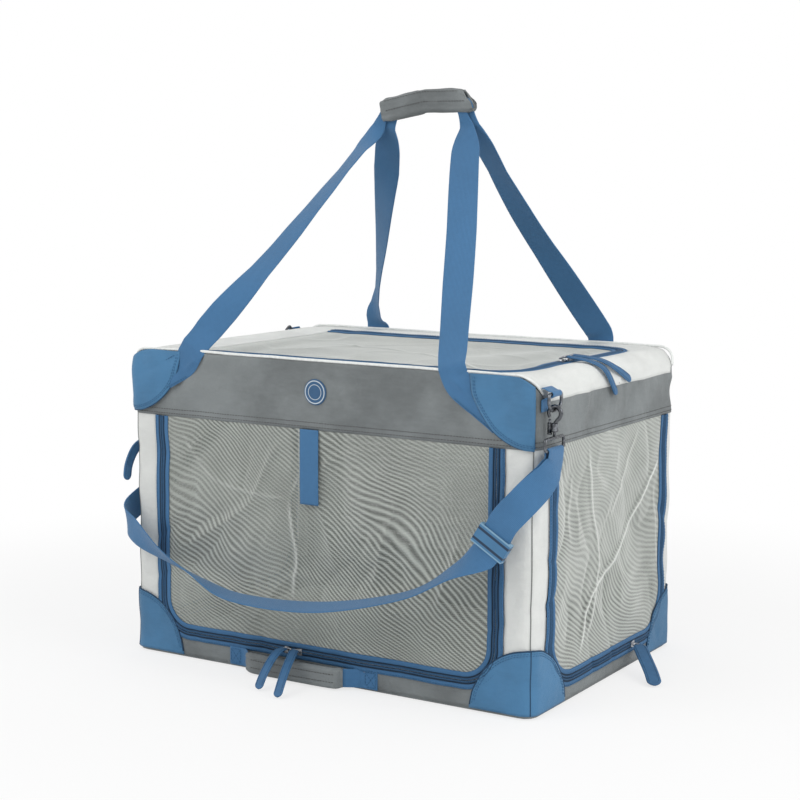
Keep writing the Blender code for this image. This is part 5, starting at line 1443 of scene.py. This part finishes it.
class CARRIER_OT_small_webbing(bpy.types.Operator):
    """The door's hanging tie and the low handle on the base band"""
    bl_idname = "carrier.small_webbing"
    bl_label = "Tie and grab handle"
    # Heights of the sleeve's two rows of stitching, from its middle
    ROWS = (-0.005, 0.005)
    # How far out the middle of webbing lies that is sewn flat
    LAID = 0.00105

    def execute(self, context):
        thickness = settings().webbing.thickness
        fall = np.linspace(0, 1, 40)
        path = grid_of(-0.015, -SKIN_Y - 0.0015 - 0.0006 * np.sin(fall * pi), HEAD_FOOT - 0.096 * fall)
        tie = ribbon("tie", path, (1, 0, 0), strip_section(0.028, thickness))
        fold_with_walls(dress(tie, "tie_strap", "webbing", "tie_strap"))

        knots = ((-0.141, self.LAID), (-0.121, self.LAID), (-0.111, 0.0059), (-0.099, 0.0156), (-0.073, 0.0195),
                 (0.024, 0.0195), (0.0395, 0.0127), (0.0575, 0.0034), (0.0675, self.LAID), (0.0875, self.LAID))
        line = evenly(smooth(knots, 12), 0.0025)
        path = grid_of(line[:, 0], -SKIN_Y - np.maximum(line[:, 1], self.LAID), 0.0155)
        grab = ribbon("grab_band", path, (0, 0, 1), strip_section(0.024, thickness))
        dress(grab, "grab_handle", "webbing", "grab_webbing")
        lines = [(run, (0, -1, 0)) for low, high in ((-0.139, -0.124), (0.0700, 0.0855))
                 for run in boxed_cross(low, high, 0.0060, 0.0250, -SKIN_Y - 0.0019)]
        dress(stitches("grab_stitches", lines), "base", "blue thread", slot="blue_webbing")
        self.sleeve(path[(path[:, 0] > -0.103) & (path[:, 0] < 0.044)])
        return {"FINISHED"}

    def sleeve(self, path):
        """Two padded cloths sewn along their edges, with two rows of stitching along the middle."""
        half, deep = 0.01325, 0.004
        turns = np.linspace(0, 2 * pi, 40, endpoint=False)
        c, s = np.cos(turns), np.sin(turns)
        section = grid_of(half * np.sign(c) * abs(c) ** 0.45, deep * np.sign(s) * abs(s) ** 0.62)
        groove = sum(np.exp(-((section[:, 0] - row) / 0.0014) ** 2) for row in self.ROWS)
        section[:, 1] *= 1 - 0.42 * groove
        run = lengths_of(path)
        ends = np.minimum(smoothstep(0, 0.006, run), smoothstep(0, 0.006, run[-1] - run))
        obj = ribbon("grab_pad", path, (0, 0, 1), section, 0.90 + 0.10 * ends)
        dress(obj, "grab_handle", "charcoal", "grab_sleeve")
        lines = [((path + (0, -deep * 0.78, row))[3:-3], (0, -1, 0)) for row in self.ROWS]
        dress(stitches("grab_pad_stitches", lines), "grab_handle", "grey thread")


# Shoulder strap and its fittings

# How far out of the ends the D-rings' pivots stand
RING_OUT = 0.0133
# Each D-ring's pivot, and the directions of its link's own w, v and z
RING_PLACE = {
    "front": np.array(((SKIN_X + RING_OUT, -0.187, 0.392), (1, 0, 0), (0, 1, 0), (0, 0, 1))),
    "rear": np.array(((-SKIN_X - RING_OUT, 0.187, 0.398), (-1, 0, 0), (0, -0.5, 0.8660254), (0, 0.8660254, 0.5))),
}
# Heights of a swivel eye's two bars in its link's own z, and the radius of its wire
EYE_HEAD, EYE_BAR, WIRE = -0.052, -0.066, 0.0020
# The strap's thickness, and how far each of its two layers lies from the middle line
STRAP_THICK, LAYER_STEP = 0.0014, 0.0011
# The middle line's points with the directions of its width. HELD is the point that the adjuster holds
HELD = 6
STRAP_KNOTS = (
    ((0.3166, -0.1870, 0.322), (0, 1, 0)), ((0.3162, -0.1900, 0.309), (0.06, 0.99, -0.10)),
    ((0.3135, -0.2020, 0.294), (0.40, 0.86, -0.32)), ((0.2990, -0.2260, 0.270), (0.78, 0.45, -0.44)),
    ((0.27868, -0.23348, 0.24604), (0.854, 0.06, -0.51)), ((0.26984, -0.23399, 0.23152), (0.854, 0, -0.52)),
    ((0.2610, -0.2345, 0.217), (0.854, 0, -0.52)), ((0.25216, -0.23501, 0.20248), (0.84, -0.10, -0.53)),
    ((0.2140, -0.2420, 0.178), (0.34, -0.89, -0.30)), ((0.1500, -0.2500, 0.141), (0.108, -0.986, -0.124)),
    ((0.0280, -0.2540, 0.111), (0.021, -0.989, -0.149)), ((-0.1000, -0.2500, 0.1055), (-0.059, -0.998, 0.015)),
    ((-0.1720, -0.2420, 0.123), (0.029, -0.915, 0.402)), ((-0.2300, -0.2340, 0.141), (0.169, -0.747, 0.643)),
    ((-0.2870, -0.2250, 0.166), (0.342, -0.263, 0.902)), ((-0.3165, -0.2060, 0.184), (0.05, -0.35, 0.90)),
    ((-0.3190, -0.1500, 0.209), (0, -0.45, 0.89)), ((-0.3190, -0.0500, 0.259), (0, -0.50, 0.866)),
    ((-0.3175, 0.0500, 0.318), (0, -0.50, 0.866)), ((-0.3168, 0.1000, 0.347), (0, -0.50, 0.866)),
)


def in_link(word, points):
    """Points of a link's own w, v and z in the frame."""
    place, *directions = RING_PLACE[word]
    return place + np.asarray(points, float) @ np.array(directions)


def bar_turn(word):
    """The strap's line up, over an eye's bar and down."""
    reach, foot = WIRE + GAP + STRAP_THICK / 2, EYE_BAR - 0.004
    over = [(reach * cos(a), 0, EYE_BAR + reach * sin(a)) for a in np.linspace(pi, 0, 15)]
    return in_link(word, [(-reach, 0, foot), *over, (reach, 0, foot)])


def strap_layer(places, widths, offset):
    """The strap's middle line moved to one side of its face."""
    along = unit(np.gradient(places, axis=0))
    return places + unit(np.cross(along, widths)) * np.reshape(offset, (-1, 1))


class CARRIER_OT_shoulder_strap(bpy.types.Operator):
    """Shoulder strap from hook to hook, doubled down to its adjuster"""
    bl_idname = "carrier.shoulder_strap"
    bl_label = "Shoulder strap"

    def execute(self, context):
        places, widths = (np.array([k[i] for k in STRAP_KNOTS]) for i in (0, 1))
        widths = unit(widths)
        doubled, doubled_w = (np.vstack([smooth(k[:HELD], 10)[1:], k[HELD:HELD + 1]]) for k in (places, widths))
        single, single_w = (np.vstack([k[HELD:HELD + 1], smooth(k[HELD + 1:], 12)]) for k in (places, widths))
        front, rear = bar_turn("front"), bar_turn("rear")
        apart = LAYER_STEP + 0.0016 * np.linspace(1, 0, len(doubled))
        inner, outer = strap_layer(doubled, doubled_w, -apart), strap_layer(doubled, doubled_w, apart)
        long = strap_layer(single, single_w, LAYER_STEP)
        tail, tail_w = strap_layer(single, single_w, -1.6 * LAYER_STEP)[-16:-2][::-1], single_w[-16:-2][::-1]
        path = np.vstack([inner[::-1], front, outer[:-1], long, rear, tail])
        side = np.vstack([doubled_w[::-1], np.tile((0, 1.0, 0), (len(front), 1)), doubled_w[:-1], single_w,
                          np.tile((0, -0.5, 0.866), (len(rear), 1)), tail_w])
        path, side = evenly(path, 0.0035, side)
        obj = ribbon("strap_webbing", path, side, strip_section(settings().webbing.width, STRAP_THICK), cup=0.0002)
        fold_with_walls(dress(obj, "top", "webbing", "shoulder_strap"))
        return {"FINISHED"}


class CARRIER_OT_metal(bpy.types.Operator):
    """Rings, trigger hooks, bolts, eyes and the webbing tabs that hold the rings"""
    bl_idname = "carrier.metal"
    bl_label = "Rings and hooks"

    def execute(self, context):
        for word in ("front", "rear"):
            ring = self.loop(f"ring_{word}", word, 0.016, 0, -0.020, [0.003, 0.003, 0.0125, 0.0125], 90)
            dress(ring, f"link_{word}", "dark nickel", f"d_ring_{word}")
            eye = self.loop(f"eye_{word}", word, 0.024, EYE_HEAD, EYE_BAR, [0.004] * 4, 110)
            post = cord(f"post_{word}", in_link(word, [(0, 0, EYE_HEAD), (0, 0, -0.0405)]), WIRE, 16)
            dress(join(f"swivel_{word}", [eye, post]), f"link_{word}", "dark nickel", f"swivel_eye_{word}")
            self.hook(word)
            self.tab(word)
        return {"FINISHED"}

    def loop(self, name, word, half, head, foot, radii, count):
        """A closed loop of wire, half so wide, between two heights of its link's own z."""
        corners = [(0, half, head), (0, -half, head), (0, -half, foot), (0, half, foot)]
        return hoop(name, corners, radii, count, lambda line: in_link(word, line), WIRE, 16)

    def hook(self, word):
        """The claw with its barrel and the bolt's guide, and the bolt with its knob."""
        # The claw's middle in the link's own z, its radius, and the angle of its tip
        centre, radius, end = -0.0233, 0.0080, 217
        turns = np.radians(np.linspace(-58, end, 40))
        line = np.array([(0, 0, -0.0355)] + [(radius * cos(a), 0, centre + radius * sin(a)) for a in turns])
        line = evenly(line, 0.0008)
        run = lengths_of(line) / lengths_of(line)[-1]
        thick = 0.0022 + 0.0006 * np.sin(pi * np.clip(run * 1.1, 0, 1)) - 0.0003 * smoothstep(0.85, 1, run)
        hook = cord(f"claw_{word}", in_link(word, line), thick, 14)
        profile = ((-0.0345, 0.0024), (-0.0350, 0.0040), (-0.0362, 0.0045), (-0.0400, 0.0040), (-0.0440, 0.0045),
                   (-0.0452, 0.0040), (-0.0455, 0.0022))
        barrel = cord(f"barrel_{word}", in_link(word, [(0, 0, z) for z, _ in profile]), [r for _, r in profile], 20)
        side = radius * cos(radians(end))
        guide = cord(f"guide_{word}", in_link(word, [(side, 0, -0.0458), (side, 0, -0.0345)]), 0.0029, 14)
        dress(join(f"trigger_{word}", [hook, barrel, guide]), f"hook_{word}", "dark nickel", f"snap_hook_{word}")
        bolt = cord(f"pin_{word}", in_link(word, [(side, 0, -0.0470), (side, 0, -0.0304)]), 0.0014, 12)
        knob = cord(f"knob_{word}", in_link(word, [(side, 0, z) for z in (-0.0487, -0.0484, -0.0465, -0.0461)]),
                    (0.0024, 0.0030, 0.0030, 0.0024), 16)
        dress(join(f"bolt_pin_{word}", [bolt, knob]), f"bolt_{word}", "dark nickel", f"hook_bolt_{word}")

    def tab(self, word):
        """The webbing round the ring's straight side, its ends laid on the band."""
        flat, grip = -RING_OUT + GAP + HALF_WEB, WIRE + GAP + HALF_WEB
        turns = np.radians(np.linspace(-25, 195, 16))
        line = [(flat, 0, 0.0062), (flat + 0.0022, 0, 0.0066)] + [(grip * sin(a), 0, grip * cos(a)) for a in turns]
        line += [(flat + 0.0022, 0, -0.0072), (flat, 0, -0.0078), (flat, 0, -0.022)]
        path = evenly(in_link(word, line), 0.0008)
        obj = ribbon(f"ring_tab_{word}", path, RING_PLACE[word][2], strip_section(0.022, 0.0014))
        dress(obj, "top", "webbing", f"d_ring_loop_{word}")


class CARRIER_OT_inside(bpy.types.Operator):
    """Fleece mat on the floor board, and the folding frame's finish"""
    bl_idname = "carrier.inside"
    bl_label = "Mat and frame"

    def execute(self, context):
        for name in ("base_frame", "top_frame", "lower_leg_left", "upper_leg_left", "lower_leg_right",
                     "upper_leg_right"):
            repaint(name, "tube")
        repaint("floor_board", "board")
        low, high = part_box("fleece_mat")
        bpy.ops.object.select_all(action="DESELECT")
        bpy.ops.mesh.primitive_cube_add(size=1, location=(low + high) / 2, scale=high - low)
        mat = bpy.context.object
        bpy.ops.object.transform_apply(location=True, rotation=True, scale=True)
        mat.name = "mat"
        bpy.ops.object.mode_set(mode="EDIT")
        bpy.ops.mesh.select_all(action="SELECT")
        bpy.ops.mesh.subdivide(number_cuts=5)
        bpy.ops.object.mode_set(mode="OBJECT")
        middle, half = np.array((low + high) / 2), np.array((high - low) / 2)
        q = (points_of(mat) - middle) / half
        inset = 0.016 * q[:, 2:] ** 2 * (1, 1, 0)
        move_points(mat, middle + q * (half - inset))
        modifier = mat.modifiers.new("Smooth", "SUBSURF")
        modifier.levels = modifier.render_levels = 3
        bpy.context.view_layer.objects.active = mat
        bpy.ops.object.modifier_apply(modifier=modifier.name)
        shape = points_of(mat)
        upper = shape[:, 2] > middle[2]
        shape[:, 2] += upper * (0.0014 * ripple(shape, 91, 0.09) + 0.0006 * ripple(shape, 93, 0.03) - 0.0012)
        move_points(mat, shape)
        mat.data.shade_smooth()
        dress(mat, "base", "fleece", "fleece_mat")
        return {"FINISHED"}


def repaint(node, name):
    """Give a CAD node that is shown as it is its finish."""
    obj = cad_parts[node]
    obj.data.materials.clear()
    obj.data.materials.append(finish(name))


# How far above its zip a slider's bridge holds its pull
PULL_START = 0.0065


def pulls():
    """Each zip pull's line in the frame, from its slider's bridge to its tip, with its width's direction and size."""
    made = {}
    # The front pulls hang over the grab handle, so far out
    foot, over = DOORS["front"][2], 0.0275
    for word, u, tip in (("front_left", -0.0475, (-0.045, 0.072)), ("front_right", -0.0315, (-0.005, 0.087))):
        run, reach = tip[0] - u, tip[1] - over
        line = ((0, foot, PULL_START - 0.0006), (0.05, foot + 0.0045, 0.0130), (0.30, foot + 0.0035, over),
                (0.60, foot - 0.0060, over + reach * 0.40), (0.85, foot - 0.0200, over + reach * 0.76),
                (1, 0.0026, tip[1]))
        made[word] = placed([(u + run * share, v, w) for share, v, w in line], "front"), (1, 0, 0), 0.0125
    foot, u = DOORS["right"][2], 0.076
    line = ((0, 0, PULL_START), (-0.007, -0.001, 0.0160), (-0.028, -0.007, 0.0320), (-0.054, -0.018, 0.0530),
            (-0.074, 0.0031 - foot, 0.0670))
    made["right"] = placed([(u + du, foot + dv, w) for du, dv, w in line], "right"), (0.70, 0.70, 0.10), 0.019
    line = ((0, 0, PULL_START), (0.006, -0.004, 0.0100), (0.024, -0.014, 0.0150), (0.037, -0.034, 0.0165),
            (0.041, -0.055, 0.0165))
    made["left"] = placed([(0.160 + du, 0.285 + dv, w) for du, dv, w in line], "left"), (0, -0.82, 0.57), 0.016
    x, start = -DOORS["top"][2], SKIN_TOP + PULL_START
    round_x, out = SKIN_X - SHOULDER, SHOULDER + 0.0006 + 0.0026
    for word, y, tip, fall in (("top_front", -0.052, 0.004, 0.016), ("top_back", -0.036, 0.046, 0.002)):
        run = tip - y
        line = [(x, y, start), (x + 0.006, y + run * 0.12, start + 0.0008)]
        line += [(round_x + out * sin(radians(a)), y + run * part, SHOULDER_FOOT + out * cos(radians(a)) + 0.0008)
                 for part, a in ((0.36, 25), (0.62, 62))]
        line.append((round_x + out + 0.0012, tip, SHOULDER_FOOT - fall))
        made[word] = line, (0, 1, 0), 0.0105
    return made


class CARRIER_OT_small_parts(bpy.types.Operator):
    """Badge, adjuster, zip sliders and their pulls"""
    bl_idname = "carrier.small_parts"
    bl_label = "Small parts"

    def execute(self, context):
        repaint("badge", "badge")
        repaint("strap_adjuster", "plastic")
        for word, (knots, across, width) in pulls().items():
            # The left slider is high on its door; it and its pull get meshes of their own, as the cloth between the
            # bands does
            parts = self.pull(word, np.array(knots), np.array(across, float), width)
            if word != "left":
                repaint(f"slider_{word}", "nickel")
                continue
            slider = bpy.data.objects.new("zip_slider_left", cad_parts["slider_left"].data.copy())
            bpy.context.scene.collection.objects.link(slider)
            merge_doubles(slider)
            parts.append(dress(slider, "slider_left", "nickel", "slider_left"))
            for part in parts:
                fold_with_walls(part)
        return {"FINISHED"}

    def pull(self, word, knots, across, width):
        """A metal loop through the slider's bridge, and a webbing tab with a rounded end and sewn edges."""
        path = evenly(smooth(knots, 12), 0.0012)
        run = lengths_of(path)
        first = int(np.searchsorted(run, 0.0040))
        end = np.clip(1 - (run[-1] - run) / (width / 2), 0, 1)
        share = (0.62 + 0.38 * smoothstep(0.004, 0.016, run)) * np.sqrt(np.maximum(1 - end ** 2, 0.02))
        tab = ribbon(f"tab_{word}", path[first:], across, strip_section(width, 0.0024, 8), share[first:])
        dress(tab, f"pull_{word}", "pull", f"pull_{word}")

        along = unit(np.gradient(path, axis=0))
        normal = unit(np.cross(along, across))
        flat = np.cross(normal, along)
        lines = []
        for face in (-1, 1):
            for edge in (-0.33, 0.33):
                row = path + flat * (edge * width * share)[:, None] + normal * (face * 0.00125)
                lines.append((row[first + 3:-4], normal[first + 3:-4] * face))
        sewn = stitches(f"tab_stitches_{word}", lines, 0.0016, 0.0024, 0.0006, 0.0003)
        dress(sewn, f"pull_{word}", "navy seam", slot="pull_tab")

        turns = np.linspace(0, 2 * pi, 28, endpoint=False)
        middle, ahead, wide = path[0] + along[0] * 0.0022, along[0], flat[0]
        loop = middle + np.cos(turns)[:, None] * ahead * 0.0054 + np.sin(turns)[:, None] * wide * 0.0042
        ring = dress(cord(f"loop_{word}", loop, 0.0010, 8, closed=True), f"pull_{word}", "nickel")
        return [tab, sewn, ring]


class CARRIER_OT_stage(bpy.types.Operator):
    """Floor, room light, lamps and the camera at the photograph's view"""
    bl_idname = "carrier.stage"
    bl_label = "Stage"

    def execute(self, context):
        stage = settings().stage
        bpy.ops.object.select_all(action="DESELECT")
        bpy.ops.mesh.primitive_plane_add(size=30, location=(0, 0, -0.0002))
        floor = bpy.context.object
        floor.name = "studio_floor"
        made = Finish("studio floor", 0.9, specular_ior_level=0.0)
        made.colour((0.86, 0.86, 0.86))
        seen = made.node("ShaderNodeLightPath")
        glow = made.node("ShaderNodeEmission", sockets={"Color": (1, 1, 1)})
        x, y, _ = made.place()
        far = (x * x + y * y).between(0.30, 1.3)
        factor = Signal(made, seen.outputs["Is Camera Ray"]) * (far * 0.28 + 0.72)
        blend = made.node("ShaderNodeMixShader", sockets={0: factor, 1: made.shader.outputs[0], 2: glow.outputs[0]})
        made.feed(made.tree.nodes["Material Output"].inputs[0], blend.outputs[0])
        floor.data.materials.append(made.material)

        world = bpy.data.worlds.new("studio")
        bpy.context.scene.world = world
        world.use_nodes = True
        sky = Nodes(world.node_tree)
        light = sky.tree.nodes["Background"]
        sky.feed(light.inputs["Color"], (1, 1, 1))
        sky.feed(light.inputs["Strength"], stage.world)
        white = sky.node("ShaderNodeBackground", sockets={"Color": (1, 1, 1)})
        seen = sky.node("ShaderNodeLightPath").outputs["Is Camera Ray"]
        blend = sky.node("ShaderNodeMixShader", sockets={0: seen, 1: light.outputs[0], 2: white.outputs[0]})
        sky.feed(sky.tree.nodes["World Output"].inputs[0], blend.outputs[0])

        self.lamp("key", (-1.1, -2.2, 2.6), 1.9, stage.key)
        self.lamp("side", (2.6, -0.2, 1.6), 1.6, stage.fill)
        bpy.context.scene.view_settings.view_transform = "Standard"
        self.camera()
        return {"FINISHED"}

    def lamp(self, name, place, size, power):
        """A square lamp that looks at the middle of the carrier."""
        data = bpy.data.lights.new(name, "AREA")
        data.energy, data.size = power, size
        obj = bpy.data.objects.new(name, data)
        obj.location = place
        obj.rotation_euler = (Vector((0, 0, 0.25)) - Vector(place)).to_track_quat("-Z", "Y").to_euler()
        bpy.context.scene.collection.objects.link(obj)

    def camera(self):
        """The photograph's view, solved from the edges of the box in it."""
        azimuth, elevation, roll = radians(31.455), radians(7.528), radians(0.302)
        back = Vector((sin(azimuth) * cos(elevation), -cos(azimuth) * cos(elevation), sin(elevation)))
        level = (-back).cross(Vector((0, 0, 1))).normalized()
        up = level.cross(-back)
        right = level * cos(roll) + up * sin(roll)
        up = up * cos(roll) - level * sin(roll)
        data = bpy.data.cameras.new("camera")
        data.lens, data.sensor_width = 79.56, 36
        obj = bpy.data.objects.new("camera", data)
        obj.matrix_world = Matrix((right, up, back)).transposed().to_4x4()
        obj.location = (1.22756, -2.02269, 0.65321)
        bpy.context.scene.collection.objects.link(obj)
        bpy.context.scene.camera = obj


class CARRIER_PT_pieces(bpy.types.Panel):
    """Lists the carrier's pieces in the sidebar"""
    bl_label = "Pet carrier"
    bl_idname = "CARRIER_PT_pieces"
    bl_space_type = "VIEW_3D"
    bl_region_type = "UI"
    bl_category = "Carrier"

    def draw(self, context):
        for group in (settings().cloth, settings().webbing, settings().stage):
            box = self.layout.box()
            for key in group.__annotations__:
                box.prop(group, key)
        for operator in OPERATORS:
            self.layout.operator(operator.bl_idname)


OPERATORS = (CARRIER_OT_stage, CARRIER_OT_base, CARRIER_OT_walls, CARRIER_OT_head_band, CARRIER_OT_top_panel,
             CARRIER_OT_guards, CARRIER_OT_zips, CARRIER_OT_handles, CARRIER_OT_grip, CARRIER_OT_small_webbing,
             CARRIER_OT_shoulder_strap, CARRIER_OT_metal, CARRIER_OT_inside, CARRIER_OT_small_parts)
CLASSES = (ClothSettings, WebbingSettings, StageSettings, CarrierSettings, *OPERATORS, CARRIER_PT_pieces)


def register():
    for cls in CLASSES:
        bpy.utils.register_class(cls)
    bpy.types.Scene.pet_carrier = bpy.props.PointerProperty(type=CarrierSettings)


def unregister():
    del bpy.types.Scene.pet_carrier
    for cls in reversed(CLASSES):
        bpy.utils.unregister_class(cls)


def main():
    register()
    bpy.ops.carrier.stage()
    bpy.ops.carrier.base()
    bpy.ops.carrier.walls()
    bpy.ops.carrier.head_band()
    bpy.ops.carrier.top_panel()
    bpy.ops.carrier.guards()
    bpy.ops.carrier.zips()
    bpy.ops.carrier.handles()
    bpy.ops.carrier.grip()
    bpy.ops.carrier.small_webbing()
    bpy.ops.carrier.shoulder_strap()
    bpy.ops.carrier.metal()
    bpy.ops.carrier.inside()
    bpy.ops.carrier.small_parts()


if __name__ == "__main__":
    main()
